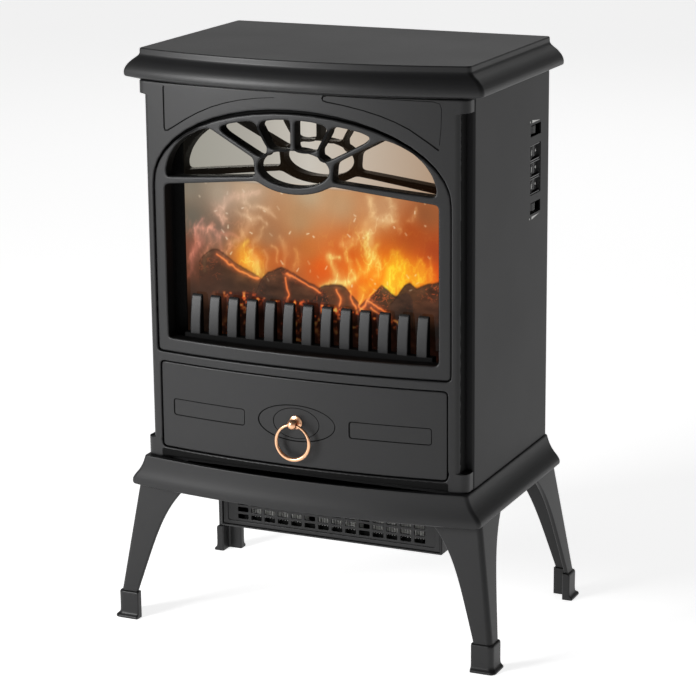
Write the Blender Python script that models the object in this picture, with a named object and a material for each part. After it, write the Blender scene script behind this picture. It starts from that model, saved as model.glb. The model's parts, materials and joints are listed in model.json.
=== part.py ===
"""A free-standing electric fireplace in the shape of a small cast stove.

Run it with blender --background --python part.py, or from Blender's text editor.
Lengths are in metres. Z is up, the front faces -Y, and X = 0 is the middle.
Every piece is placed from the middle of the four feet, and an empty then moves
them all, so that the origin is the bottom centre of the whole stove.
"""

import math

import bmesh
import bpy
from mathutils import Matrix, Vector

mm = 0.001

# ---------------------------------------------------------------- driving sizes
overall_height = 540 * mm
body_half = 160 * mm  # half the width over the side panels
body_back = 103 * mm  # rear face of the side panels
body_bottom = 160.5 * mm  # where the body stands on the base
cornice_height = 28 * mm
base_height = 28.5 * mm
cornice_underside = overall_height - cornice_height
base_bottom = body_bottom - base_height
gap = 0.3 * mm  # between faces that touch on the real stove
running_gap = 0.8 * mm  # between faces that slide or turn past each other
past = 5 * mm  # how far a cutter runs past the face that it cuts
sheet = 1.5 * mm  # folded steel panels
panel_flange = 12 * mm

# the bowed front frame
frame_corner_y = -99.5 * mm
frame_bow = 15 * mm
frame_wall = 7 * mm
frame_return = 14.9 * mm  # how far its corners run back beside the panels
frame_back = frame_corner_y + frame_return
frame_corner_radius = 10 * mm
corner_block_top = body_bottom + 17.5 * mm  # full-width blocks at the foot of the front
collar_bottom = cornice_underside - 12 * mm  # full-width collar under the cornice
stile_inset = 7 * mm  # how far the stiles between them stand in from the side panels
stile_radius = 8.5 * mm
foot_curve_rise = 4.5 * mm
foot_curve_margin = 1.5 * mm

# cornice: half width, front corner and bow of the flat top and of the lip
cornice_flat = (body_half - 0.2 * mm, frame_corner_y + 4.5 * mm, 25 * mm)
cornice_lip = (body_half + 13.8 * mm, frame_corner_y - 1.5 * mm, 28 * mm)
cornice_corner_radius = 7 * mm
cornice_wall = 4 * mm
cornice_edge = 0.8 * mm
fascia_height = 5 * mm
lip_rise = 6 * mm  # height of the lip's widest line over the cornice's underside

# base: half width, front corner and bow of its upper rim and of its widest line
base_rim = (body_half + 1.5 * mm, frame_corner_y - 5 * mm, 16.5 * mm)
base_lip = (body_half + 14.8 * mm, frame_corner_y - 7 * mm, 17.7 * mm)
base_wall = 4 * mm
base_corner_radius = 9 * mm
trough_width = 9 * mm
trough_rim = 3 * mm
bottom_cover_slack = 1.2 * mm

# drawer
drawer_half = body_half - 17.5 * mm
drawer_bottom = body_bottom + 10.5 * mm
drawer_height = 83 * mm
drawer_top = drawer_bottom + drawer_height
drawer_corner_radius = 2.5 * mm
drawer_gap = 0.9 * mm
drawer_front_wall = 6 * mm
drawer_recess = 1 * mm
tray_half = drawer_half - 14.5 * mm
tray_height = drawer_height - 25 * mm
tray_length = 135 * mm
tray_wall = 1.5 * mm
tray_rise = 5 * mm  # tray floor over the drawer opening's sill
runner_height = 14 * mm
runner_ledge = 12.8 * mm
runner_overrun = 8 * mm
pull_z = drawer_bottom + drawer_height / 2 + 0.5 * mm
pull_ball_radius = 4.7 * mm
pull_stem_radius = 2 * mm
pull_stem_reach = 3 * mm  # behind the drawer front
pull_standoff = 7.5 * mm
pull_ring_radius = 16.2 * mm
pull_wire_top = 1.15 * mm
pull_wire_bottom = 1.9 * mm
pull_eye_radius = 2.5 * mm
pull_ring_sag = 0.5 * mm  # the wire rests low in the eye
rosette_radius = 6.2 * mm
rosette_crown_radius = 4 * mm
rosette_thickness = 1.5 * mm

# arched window
stile_width = 14.5 * mm
arch_half = body_half - stile_width
arch_rise = 77 * mm
arch_spring = cornice_underside - 93 * mm
arch_corner_radius = 3 * mm
window_bottom = drawer_top + 8.5 * mm
window_wall = 12.5 * mm
window_recess = 1.5 * mm
window_side_gap = 0.8 * mm
window_top_gap = 3.4 * mm
window_border = 12 * mm
glass_half = arch_half - window_border
glass_bottom = window_bottom + window_border + 1.5 * mm
glass_corner_radius = 14 * mm
sun_half = glass_half - 2 * mm  # outer edge of the sunburst openings
sun_rise = 60 * mm
sun_spring = arch_spring + 7 * mm
oval_half = 34.5 * mm
oval_rise = 16 * mm
oval_centre_z = sun_spring + 17.5 * mm
oval_rim = 5.5 * mm
oval_rim_top = 3.2 * mm  # the rim is thinner above the oval and thicker below it
oval_rim_foot = 7 * mm
spoke_width = 5 * mm
spoke_feet = ((0, 0), (24.5 * mm, 36.5 * mm), (38.2 * mm, 80 * mm))  # x at the rim, x outside
bar_height = 4.6 * mm
bar_outer_z = sun_spring - 0.5 * mm
bar_inner_z = sun_spring + 8 * mm
opening_corner_radius = 4 * mm

# grate in front of the flame screen
finger_count = 13
finger_width = 10.5 * mm
finger_top = glass_bottom + 39 * mm
grate_rail_low = window_bottom + 5 * mm
grate_rail_top = glass_bottom + 3.5 * mm
grate_rail_half = glass_half - 10.3 * mm
grate_rail_end = 11 * mm  # from the last finger's middle to the rail's end
finger_pitch = 2 * (grate_rail_half - grate_rail_end) / (finger_count - 1)
grate_clearance = 1.6 * mm  # behind the window frame
grate_depth = 8.5 * mm
finger_foot_sink = 3 * mm
finger_back_depth = 3.6 * mm

# firebox: the liner, the screen in it and the shelf under it
screen_clearance = 2.5 * mm  # behind the grate
screen_half = glass_half - 0.5 * mm
screen_thickness = 3 * mm
screen_top = arch_spring + arch_rise + 3 * mm
liner_sight = glass_half - 8.5 * mm  # half the width of the screen that shows
liner_wall = 2 * mm
liner_overlap = 5 * mm
liner_low = window_bottom - 5 * mm
liner_back_reach = 8 * mm  # behind the screen
mask_wall = 1.5 * mm
mask_edge = 3 * mm
screen_bottom = liner_low + liner_wall + 1 * mm
shelf_top = liner_low - gap
shelf_back = 60 * mm

# what lights the flames: a lamp board, a turning spindle and a reflector
board_half = glass_half - 38.5 * mm
board_rise = 5 * mm
board_thickness = 1.6 * mm
board_depth = 10 * mm
board_setback = 13 * mm  # from the screen's front to the board
lamp_count = 8
lamp_width = 5 * mm
lamp_height = 2 * mm
spindle_half = glass_half - 29.5 * mm
spindle_setback = 31 * mm
spindle_z = shelf_top + 38.8 * mm
spindle_rod_radius = 3 * mm
spindle_fins = 9
spindle_fin = 10 * mm
spindle_fin_half_length = 8 * mm
spindle_fin_turn = math.radians(67)
spindle_motor_radius = 17 * mm
spindle_motor_length = 15 * mm
spindle_bracket_wall = 3 * mm
reflector_setback = 22 * mm
reflector_lean = 14 * mm
reflector_height = 60 * mm

# legs and boots; a corner is its distance from the middle in x, and in y front and rear
leg_top_half = body_half + 12 * mm
leg_top_front = -frame_corner_y - 2.5 * mm
leg_top_rear = body_back - 6 * mm
leg_splay = (15.5 * mm, 13.5 * mm)
leg_foot_width = 17.5 * mm
leg_taper = 17 * mm
leg_flare = 16 * mm
leg_wall = 4 * mm
leg_corner_radius = 5 * mm
leg_stations = 8
boot_height = 26 * mm
boot_step = 2 * mm
boot_rim = 3 * mm
boot_rim_height = 3 * mm
boot_wall = 7.5 * mm

# fan heater below the base
heater_half = 113.5 * mm
heater_front = -45 * mm
heater_depth = 62 * mm
heater_drop = 52.5 * mm
heater_bottom = base_bottom - heater_drop
heater_wall = 2 * mm
duct_half = 70 * mm
duct_front = heater_front + 15 * mm
duct_back = heater_front + 50 * mm
grille_setback = 1 * mm
grille_wall = 3 * mm
slot_columns = 14
slot_rows = 5
slot_width = 10.8 * mm
slot_height = 4.6 * mm
slot_side_margin = 17.5 * mm
slot_pitch_x = (2 * (heater_half - slot_side_margin) - slot_width) / (slot_columns - 1)
slot_pitch_z = 7 * mm
slot_first_z = heater_bottom + 8.5 * mm
element_half = heater_half - 21.5 * mm
element_depth = 10 * mm
element_foot = 7 * mm
element_headroom = 9 * mm
blower_clearance = 3 * mm
rotor_radius = 17 * mm
rotor_half = heater_half - 35.5 * mm
rotor_shift = -10 * mm  # the rotor sits left of the middle, and the motor fills the right
rotor_blades = 12
rotor_disc = 2.5 * mm
rotor_blade_depth = 6.2 * mm
rotor_blade_edge = 0.8 * mm
rotor_blade_thickness = 1 * mm
rotor_shaft_radius = 2.5 * mm
rotor_shaft_reach = 6 * mm
blower_motor_radius = 16 * mm
blower_motor_length = 20 * mm
blower_bearing_radius = 6 * mm
blower_bearing_length = 4 * mm
cutout_radius = 4.5 * mm
cutout_thickness = 6 * mm

# controls behind the right-hand side panel
control_y = 67 * mm
control_width = 27 * mm
switch_z = cornice_underside - 88.5 * mm
rocker_pitch = 15.5 * mm
rocker_names = ("flame", "low_heat", "high_heat")
rocker_z = (switch_z + rocker_pitch, switch_z, switch_z - rocker_pitch)
rocker_rest_tilt = math.radians(7)
bezel_setback = 0.6 * mm
bezel_wall = 1.2 * mm
well_depth = 11.4 * mm
rocker_side_gap = 0.9 * mm
rocker_end_gap = 0.5 * mm
rocker_pivot_depth = 6 * mm
switch_back_x = body_half - 34 * mm
wheel_z = (switch_z + 36.1 * mm, switch_z - 35.7 * mm)
wheel_slot_height = 10.6 * mm
wheel_thickness = 7.4 * mm
wheel_radius = 13 * mm
wheel_teeth = 18
wheel_tooth = 0.7 * mm
wheel_bore = 2.6 * mm
wheel_setback = 1.4 * mm
dial_body_height = 16 * mm
dial_body_half = (12 * mm, 13 * mm)
control_bracket_half = 18 * mm

# rear cover, cable inlet and terminal block
vent_rows = 9
vent_pitch = 8 * mm
vent_half = 45 * mm
vent_height = 3.4 * mm
vent_z = (body_bottom + 69.5 * mm, cornice_underside - 62 * mm)
cable_inlet = (body_half - 42 * mm, body_bottom + 25.5 * mm)
gland_radius = 6 * mm
gland_flange_radius = 8.5 * mm
gland_reach = 9 * mm
gland_tail = 6 * mm
gland_bore = 3.6 * mm
terminal_offset = 33 * mm
terminal_size = (34 * mm, 14 * mm, 12 * mm)

front_samples = 14  # facets across a bowed front
corner_steps = 3

# ------------------------------------------------------------------- the scene
for stale in list(bpy.data.objects):
    bpy.data.objects.remove(stale, do_unlink=True)

pieces = bpy.data.collections.new("electric_fireplace")
cutters = bpy.data.collections.new("cutters")
for collection in (pieces, cutters):
    bpy.context.scene.collection.children.link(collection)
cutters.hide_render = True

foot_grow = leg_splay[1] + boot_step + boot_rim
front_reach = max(cornice_lip[2] - cornice_lip[1], leg_top_front + foot_grow)
rear_reach = max(body_back, leg_top_rear + foot_grow)
stove = bpy.data.objects.new("stove", None)
stove.location = (0, (front_reach - rear_reach) / 2, 0)
pieces.objects.link(stove)


# -------------------------------------------------------------------- materials
def finish(name, colour, roughness, metallic=0.0):
    """A Principled material, made once for each name."""
    found = bpy.data.materials.get(name)
    if found:
        return found
    made = bpy.data.materials.new(name)
    made.use_nodes = True
    shader = made.node_tree.nodes["Principled BSDF"]
    shader.inputs["Base Color"].default_value = (*colour, 1)
    shader.inputs["Roughness"].default_value = roughness
    shader.inputs["Metallic"].default_value = metallic
    made.diffuse_color = (*colour, 1)
    return made


STOVE_PAINT = ((0.035, 0.035, 0.036), 0.42, 0.0)
DARK_PLASTIC = ((0.012, 0.012, 0.013), 0.5, 0.0)
SWITCH_PLASTIC = ((0.02, 0.02, 0.021), 0.3, 0.0)
ROSE_BRASS = ((0.83, 0.47, 0.28), 0.16, 1.0)
BARE_STEEL = ((0.55, 0.55, 0.56), 0.32, 1.0)
WHITE_CERAMIC = ((0.78, 0.76, 0.72), 0.55, 0.0)
BOARD_GREEN = ((0.02, 0.16, 0.07), 0.4, 0.0)
FLAME_PRINT = ((0.62, 0.2, 0.05), 0.15, 0.0)


# ----------------------------------------------------------------- mesh helpers
def add(name, mesh, look, origin=(0, 0, 0), collection=pieces):
    """An object whose mesh is given in stove coordinates, with its origin at `origin`."""
    mesh.transform(Matrix.Translation(-Vector(origin)))
    made = bpy.data.objects.new(name, mesh)
    made.location = origin
    made.parent = stove
    collection.objects.link(made)
    if look:
        mesh.materials.clear()
        mesh.materials.append(finish(name + "_finish", *look))
    return made


def to_mesh(name, work):
    """Closes a bmesh and turns it into a mesh whose faces point out."""
    bmesh.ops.recalc_face_normals(work, faces=work.faces)
    mesh = bpy.data.meshes.new(name)
    work.to_mesh(mesh)
    work.free()
    return mesh


def box(low, high):
    """A box between two corners."""
    work = bmesh.new()
    bmesh.ops.create_cube(work, size=1)
    low, high = Vector(low), Vector(high)
    size = high - low
    bmesh.ops.scale(work, vec=size, verts=work.verts)
    bmesh.ops.translate(work, vec=(low + high) / 2, verts=work.verts)
    return to_mesh("box", work)


def rod(start, end, radius, sides=16, end_radius=None):
    """A cylinder, or a cone, from start to end."""
    start, end = Vector(start), Vector(end)
    work = bmesh.new()
    bmesh.ops.create_cone(
        work,
        cap_ends=True,
        segments=sides,
        radius1=radius,
        radius2=radius if end_radius is None else end_radius,
        depth=(end - start).length,
    )
    turn = (end - start).to_track_quat("Z", "Y").to_matrix().to_4x4()
    place = Matrix.Translation((start + end) / 2) @ turn
    bmesh.ops.transform(work, matrix=place, verts=work.verts)
    return to_mesh("rod", work)


def ball(centre, radius, rings=8, segments=14):
    work = bmesh.new()
    bmesh.ops.create_uvsphere(work, u_segments=segments, v_segments=rings, radius=radius)
    bmesh.ops.translate(work, vec=centre, verts=work.verts)
    return to_mesh("ball", work)


def merged(*meshes):
    """One mesh that holds several closed shapes, for use as a cutter or a joiner."""
    work = bmesh.new()
    for mesh in meshes:
        work.from_mesh(mesh)
        bpy.data.meshes.remove(mesh)
    return to_mesh("merged", work)


def loft(rings):
    """A closed solid through rings of points, which all have the same count."""
    work = bmesh.new()
    loops = [[work.verts.new(point) for point in ring] for ring in rings]
    for lower, upper in zip(loops, loops[1:]):
        for i in range(len(lower)):
            j = (i + 1) % len(lower)
            work.faces.new((lower[i], lower[j], upper[j], upper[i]))
    work.faces.new(loops[0])
    work.faces.new(loops[-1])
    return to_mesh("loft", work)


def slab(outline, holes, thickness, across="Y"):
    """A flat plate from a 2D outline with holes. Across Y the outline is (x, z), and across
    Z it is (x, y), and across X it is (y, z). The plate starts at 0 and grows along +."""
    curve = bpy.data.curves.new("outline", "CURVE")
    curve.dimensions = "2D"
    curve.fill_mode = "BOTH"
    curve.extrude = thickness / 2
    for points in [outline, *holes]:
        spline = curve.splines.new("POLY")
        spline.points.add(len(points) - 1)
        for spot, (a, b) in zip(spline.points, points):
            spot.co = (a, b, 0, 1)
        spline.use_cyclic_u = True
    drawn = bpy.data.objects.new("outline", curve)
    cutters.objects.link(drawn)
    graph = bpy.context.evaluated_depsgraph_get()
    mesh = bpy.data.meshes.new_from_object(drawn.evaluated_get(graph))
    bpy.data.objects.remove(drawn)
    work = bmesh.new()
    work.from_mesh(mesh)
    bpy.data.meshes.remove(mesh)
    bmesh.ops.remove_doubles(work, verts=work.verts, dist=1e-6)
    turns = {
        "Z": Matrix.Identity(4),
        "Y": Matrix.Rotation(math.pi / 2, 4, "X"),
        "X": Matrix.Rotation(math.pi / 2, 4, "Z") @ Matrix.Rotation(math.pi / 2, 4, "X"),
    }
    steps = {"Z": (0, 0, 1), "Y": (0, 1, 0), "X": (1, 0, 0)}
    place = Matrix.Translation(Vector(steps[across]) * thickness / 2) @ turns[across]
    bmesh.ops.transform(work, matrix=place, verts=work.verts)
    return to_mesh("slab", work)


def bent(mesh, half, depth, samples=front_samples):
    """Slices a plate along X and bows it forwards, by `depth` in the middle."""
    work = bmesh.new()
    work.from_mesh(mesh)
    bpy.data.meshes.remove(mesh)
    for i in range(1, samples):
        x = half * (2 * i / samples - 1)
        geometry = work.verts[:] + work.edges[:] + work.faces[:]
        bmesh.ops.bisect_plane(work, geom=geometry, dist=1e-7, plane_co=(x, 0, 0), plane_no=(1, 0, 0))
    bmesh.ops.triangulate(work, faces=work.faces)
    for vert in work.verts:
        vert.co.y -= bow_at(vert.co.x, half, depth)
    return to_mesh("bent", work)


def moved(mesh, offset):
    mesh.transform(Matrix.Translation(Vector(offset)))
    return mesh


def boolean(target, mesh, operation, label):
    """Cuts or joins a mesh given in stove coordinates."""
    tool = add(f"{target.name}_{label}", mesh, None, collection=cutters)
    tool.hide_render = True
    tool.display_type = "WIRE"
    step = target.modifiers.new(label, "BOOLEAN")
    step.operation = operation
    step.solver = "EXACT"
    step.object = tool
    return tool


def cut(target, mesh, label="cut"):
    return boolean(target, mesh, "DIFFERENCE", label)


def join(target, mesh, label="join"):
    return boolean(target, mesh, "UNION", label)


# -------------------------------------------------------------- outline helpers
def bow_at(x, half, depth):
    """How far a bowed front stands forward of its corners at x."""
    return depth * (1 - (x / half) ** 2)


def front_y(x=0.0):
    """Where the bowed face of the front frame stands at x."""
    return frame_corner_y - bow_at(x, body_half, frame_bow)


def rounded(points, radii, steps=corner_steps):
    """A closed outline with its corners turned into arcs. A radius of 0 keeps a corner."""
    made = []
    count = len(points)
    for i, radius in enumerate(radii):
        here = Vector(points[i])
        before = Vector(points[i - 1]) - here
        after = Vector(points[(i + 1) % count]) - here
        if radius <= 0:
            made.append(tuple(here))
            continue
        bend = before.angle(after)
        reach = min(radius / math.tan(bend / 2), 0.48 * before.length, 0.48 * after.length)
        radius = reach * math.tan(bend / 2)
        middle = here + (before.normalized() + after.normalized()).normalized() * (
            radius / math.sin(bend / 2)
        )
        first = here + before.normalized() * reach - middle
        last = here + after.normalized() * reach - middle
        sweep = first.angle_signed(last)
        for k in range(steps + 1):
            spin = Matrix.Rotation(-sweep * k / steps, 2)
            made.append(tuple(middle + spin @ first))
    return made


def plan(half, corner_y, bow, back, radius, samples=front_samples):
    """The outline of the stove seen from above: straight sides, a bowed front and round
    front corners, from the left rear corner to the right rear corner."""
    points = [(-half, back), (-half, corner_y)]
    radii = [0, radius]
    for i in range(1, samples):
        x = half * (2 * i / samples - 1)
        points.append((x, corner_y - bow_at(x, half, bow)))
        radii.append(0)
    points += [(half, corner_y), (half, back)]
    radii += [radius, 0]
    return rounded(points, radii)


def at_height(outline, z):
    return [(x, y, z) for x, y in outline]


def between(start, end, share):
    return tuple(a + (b - a) * share for a, b in zip(start, end))


def ellipse_arc(half, rise, centre_z, start, end, steps):
    """Points on an ellipse in the XZ plane; angles run from +X towards +Z."""
    made = []
    for i in range(steps + 1):
        angle = start + (end - start) * i / steps
        made.append((half * math.cos(angle), centre_z + rise * math.sin(angle)))
    return made


def gear_outline(radius, depth, teeth, centre=(0, 0)):
    """A knurled rim: two points on each tooth and two in each gap."""
    made = []
    for i in range(teeth * 4):
        r = radius if i % 4 < 2 else radius - depth
        angle = 2 * math.pi * i / (teeth * 4)
        made.append((centre[0] + r * math.cos(angle), centre[1] + r * math.sin(angle)))
    return made


def rectangle(half_x, low, high, centre_x=0.0):
    """A rectangle from its half width and the limits of its other side."""
    left, right = centre_x - half_x, centre_x + half_x
    return [(left, low), (right, low), (right, high), (left, high)]


# --------------------------------------------------------------------- cornice
def build_top_plate():
    """A moulded top: flat plate, short fascia, ogee and a lip, hollow underneath."""
    lip_z = cornice_underside + lip_rise
    fascia_z = overall_height - fascia_height
    profile = [  # share of the way from the flat top out to the lip, and the height
        (0.08, cornice_underside),
        (0.97, lip_z - 1.5 * mm),
        (1.0, lip_z),
        (0.94, lip_z + 3.2 * mm),
        (0.8, lip_z + 6.6 * mm),
        (0.55, lip_z + 10.4 * mm),
        (0.26, lip_z + 13.4 * mm),
        (0.09, lip_z + 15.6 * mm),
        (0.03, fascia_z),
        (0.0, overall_height - cornice_edge),
        (-0.06, overall_height),
    ]
    rings = []
    for share, z in profile:
        half, corner, bow = between(cornice_flat, cornice_lip, share)
        rings.append(at_height(plan(half, corner, bow, body_back, cornice_corner_radius), z))
    top = add("top_plate", loft(rings), STOVE_PAINT)
    half, corner, bow = cornice_flat
    inner_radius = cornice_corner_radius - cornice_wall / 2
    inner = plan(half - cornice_wall, corner + cornice_wall, bow, body_back - cornice_wall, inner_radius)
    levels = (cornice_underside - past, overall_height - cornice_wall)
    cut(top, loft([at_height(inner, z) for z in levels]), "hollow")


# ----------------------------------------------------------------- front frame
def frame_band(low, high, half, radius):
    """A bowed wall with short returns at its corners, whose face stays on the front's bow."""
    corner = -frame_corner_y + bow_at(half, body_half, frame_bow)
    bow = frame_bow - bow_at(half, body_half, frame_bow)
    outer = plan(half, -corner, bow, frame_back, radius)
    inner = plan(half - frame_wall, frame_wall - corner, bow, frame_back, radius - frame_wall / 2)
    band = outer + inner[::-1]
    return loft([at_height(band, low), at_height(band, high)])


def arch_outline(half, rise, low, corner_radius, steps=22):
    """A window outline: straight jambs, an elliptical head, and small lower corners."""
    head = ellipse_arc(half, rise, arch_spring, 0, math.pi, steps)
    points = head + [(-half, low), (half, low)]
    radii = [0] * len(head) + [corner_radius] * 2
    return rounded(points, radii)


def through_front(outline, holes=()):
    """A prism along Y that passes right through the front frame."""
    depth = 60 * mm
    return moved(slab(outline, holes, depth), (0, frame_corner_y - frame_bow - depth / 4, 0))


def build_front_frame():
    """The cast front: corner blocks, round-edged stiles, a collar, and its two openings."""
    low = body_bottom + gap
    high = cornice_underside - gap
    middle = frame_band(low, high, body_half - stile_inset, stile_radius)
    frame = add("front_frame", middle, STOVE_PAINT)
    for label, start, end in (("blocks", low, corner_block_top), ("collar", collar_bottom, high)):
        join(frame, frame_band(start, end, body_half, frame_corner_radius), label)
    arch = arch_outline(arch_half, arch_rise, window_bottom, arch_corner_radius)
    cut(frame, through_front(arch), "window")
    opening = rounded(rectangle(drawer_half, drawer_bottom, drawer_top), [drawer_corner_radius] * 4)
    cut(frame, through_front(opening), "drawer")
    # the foot of the frame arches up in the middle, over the trough in the base
    half = drawer_half + foot_curve_margin
    arc = ellipse_arc(half, foot_curve_rise, low, 0, math.pi, 12)
    cut(frame, through_front([*arc, (-half, low - past), (half, low - past)]), "foot_curve")


# ----------------------------------------------------------------- side panels
def build_side_panels():
    """Folded steel sides with a flange at the front and one at the rear."""
    front = frame_back + gap
    low = body_bottom + gap
    high = cornice_underside - gap
    for side, name in ((-1, "side_panel_left"), (1, "side_panel_right")):
        skin, fold = body_half, body_half - sheet
        inner = fold - panel_flange
        profile = [
            (skin, front),
            (skin, body_back),
            (inner, body_back),
            (inner, body_back - sheet),
            (fold, body_back - sheet),
            (fold, front + sheet),
            (inner, front + sheet),
            (inner, front),
        ]
        profile = [(side * x, y) for x, y in profile]
        panel = add(name, loft([at_height(profile, low), at_height(profile, high)]), STOVE_PAINT)
        if side > 0:
            cut(panel, merged(*control_openings()), "controls")


def control_openings():
    """The three openings in the right-hand panel: a wheel, the switches, a wheel."""
    half = control_width / 2
    spans = [(z - wheel_slot_height / 2, z + wheel_slot_height / 2) for z in wheel_z]
    spans.append((min(rocker_z) - rocker_pitch / 2, max(rocker_z) + rocker_pitch / 2))
    return [
        box((body_half - past, control_y - half, low), (body_half + past, control_y + half, high))
        for low, high in spans
    ]


# ------------------------------------------------------------------ rear cover
def circle(radius, centre=(0, 0), sides=16):
    """A round outline."""
    steps = [math.tau * i / sides for i in range(sides)]
    return [(centre[0] + radius * math.cos(a), centre[1] + radius * math.sin(a)) for a in steps]


def rear_cover_face():
    """The inner face of the rear cover, which sits inside the side panels' rear flanges."""
    return body_back - 2 * sheet - gap


def build_rear_cover():
    """A flat steel back with two groups of vent slots, held inside the side flanges."""
    half = body_half - sheet - gap
    low, high = body_bottom + gap, cornice_underside - gap
    holes = [circle(gland_radius + gap, cable_inlet)]
    for middle_z in vent_z:
        for row in range(vent_rows):
            z = middle_z + (row - (vent_rows - 1) / 2) * vent_pitch
            holes.append(rectangle(vent_half, z - vent_height / 2, z + vent_height / 2))
    cover = slab(rectangle(half, low, high), holes, sheet)
    add("rear_cover", moved(cover, (0, rear_cover_face(), 0)), STOVE_PAINT)


def build_cable_gland():
    """A flanged bush in the rear cover for the mains lead."""
    x, z = cable_inlet
    inner_face = rear_cover_face()
    flange_face = inner_face + sheet + gap
    tip = inner_face + sheet + gland_reach
    sides = 20
    neck_radius = gland_radius - gap / 2
    neck = rod((x, inner_face - gland_tail, z), (x, flange_face + 1 * mm, z), neck_radius, sides)
    gland = add("cable_gland", neck, DARK_PLASTIC)
    flange = rod((x, flange_face, z), (x, tip, z), gland_flange_radius, sides, end_radius=gland_radius)
    join(gland, flange, "flange")
    cut(gland, rod((x, inner_face - gland_tail - past, z), (x, tip + past, z), gland_bore, 16), "bore")


# ------------------------------------------------------------------------ base
def build_base():
    """A moulded plinth, hollow from below, with a narrow open trough along its front."""
    profile = [  # share of the way from the rim out to the lip, and the share of the height
        (0.74, 0.0),
        (0.9, 0.02),
        (1.0, 0.08),
        (1.0, 0.15),
        (0.84, 0.27),
        (0.56, 0.44),
        (0.32, 0.62),
        (0.16, 0.8),
        (0.07, 0.94),
        (0.0, 1.0),
    ]
    rings = []
    for share, rise in profile:
        half, corner, bow = between(base_rim, base_lip, share)
        outline = plan(half, corner, bow, body_back, base_corner_radius)
        rings.append(at_height(outline, base_bottom + rise * base_height))
    base = add("base_plate", loft(rings), STOVE_PAINT)
    half, corner, bow = base_rim
    inner_radius = base_corner_radius - base_wall
    inner = plan(half - base_wall, corner + base_wall, bow, body_back - base_wall, inner_radius)
    cut(base, loft([at_height(inner, z) for z in (base_bottom - past, body_bottom - base_wall)]), "hollow")
    front = corner + trough_rim
    trough = plan(drawer_half, front, bow, front + trough_width, 1 * mm)
    cut(base, loft([at_height(trough, body_bottom + dz) for dz in (-2 * base_wall, past)]), "trough")


def build_bottom_cover():
    """The sheet that closes the plinth from below, open over the blower."""
    half, corner, _ = base_rim
    margin = base_wall + bottom_cover_slack
    outline = rectangle(half - margin, corner + margin, body_back - margin)
    cover = slab(outline, [rectangle(duct_half, duct_front, duct_back)], sheet, across="Z")
    add("bottom_cover", moved(cover, (0, 0, base_bottom + gap)), DARK_PLASTIC)


# ------------------------------------------------------------------------ legs
def l_section(corner, width, wall, radius, side, end):
    """An angle section that is open towards the middle of the stove."""
    x, y = corner
    points = [
        (x - width, y),
        (x, y),
        (x, y - width),
        (x - wall, y - width),
        (x - wall, y - wall),
        (x - width, y - wall),
    ]
    shape = rounded(points, [0, radius, 0, 0, 0, 0])
    return [(side * a, end * b) for a, b in shape]


def build_legs():
    """Four splayed angle-section legs, each standing in a flared boot."""
    leg_bottom = boot_height + gap
    leg_top = base_bottom - gap
    places = {
        "front_left": (-1, -1, leg_top_front),
        "front_right": (1, -1, leg_top_front),
        "rear_left": (-1, 1, leg_top_rear),
        "rear_right": (1, 1, leg_top_rear),
    }
    for place, (side, end, reach) in places.items():
        top_corner = (leg_top_half, reach)
        foot_corner = tuple(a + b for a, b in zip(top_corner, leg_splay))
        rings = []
        for i in range(leg_stations + 1):
            share = i / leg_stations
            corner = between(foot_corner, top_corner, share)
            width = leg_foot_width + leg_taper * share + leg_flare * share**5
            z = leg_bottom + (leg_top - leg_bottom) * share
            section = l_section(corner, width, leg_wall, leg_corner_radius, side, end)
            rings.append(at_height(section, z))
        add(f"leg_{place}", loft(rings), STOVE_PAINT)

        boot_rings = []
        levels = [
            (0.0, boot_rim),
            (boot_rim_height * 0.4, boot_rim),
            (boot_rim_height, 0.6 * mm),
            (boot_rim_height * 2, 0.0),
            (boot_height - boot_rim_height / 2, 0.0),
            (boot_height, -1 * mm),
        ]
        for z, grow in levels:
            corner = tuple(value + boot_step + grow for value in foot_corner)
            width = leg_foot_width + 1.8 * boot_step + grow
            section = l_section(corner, width, boot_wall + grow, leg_corner_radius, side, end)
            boot_rings.append(at_height(section, z))
        add(f"foot_cap_{place}", loft(boot_rings), STOVE_PAINT)


# -------------------------------------------------------------------- window
def bar_z(x):
    """Height of the top of the cross bar, which climbs towards the oval."""
    return bar_outer_z + (bar_inner_z - bar_outer_z) * (1 - abs(x) / sun_half)


def sun_z(x):
    """Height of the sunburst's outer edge."""
    return sun_spring + sun_rise * math.sqrt(max(0.0, 1 - (x / sun_half) ** 2))


def rim_z(x):
    """Height of the upper edge of the rim round the oval."""
    share = x / (oval_half + oval_rim)
    return oval_centre_z + (oval_rise + oval_rim_top) * math.sqrt(max(0.0, 1 - share**2))


def spoke_edge(spoke, side):
    """Both ends of one edge of a spoke; side is +1 for its lower or outer edge."""
    start = Vector((spoke[0], rim_z(spoke[0])))
    end = Vector((spoke[1], sun_z(spoke[1])))
    along = (end - start).normalized()
    aside = Vector((along.y, -along.x)) * side * spoke_width / 2
    return start + aside, end + aside


def petal(lower_spoke, upper_spoke):
    """The opening between two spokes, on the right-hand half."""
    low_in, low_out = spoke_edge(lower_spoke, -1)
    up_in, up_out = spoke_edge(upper_spoke, 1)
    middle_x = (low_out.x + up_out.x) / 2
    points = [
        (low_in.x, rim_z(low_in.x)),
        (low_out.x, sun_z(low_out.x)),
        (middle_x, sun_z(middle_x)),
        (up_out.x, sun_z(up_out.x)),
        (up_in.x, rim_z(up_in.x)),
    ]
    radius = opening_corner_radius
    return rounded(points, [radius * 0.8, radius, 0, radius, radius * 0.8], 4)


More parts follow.
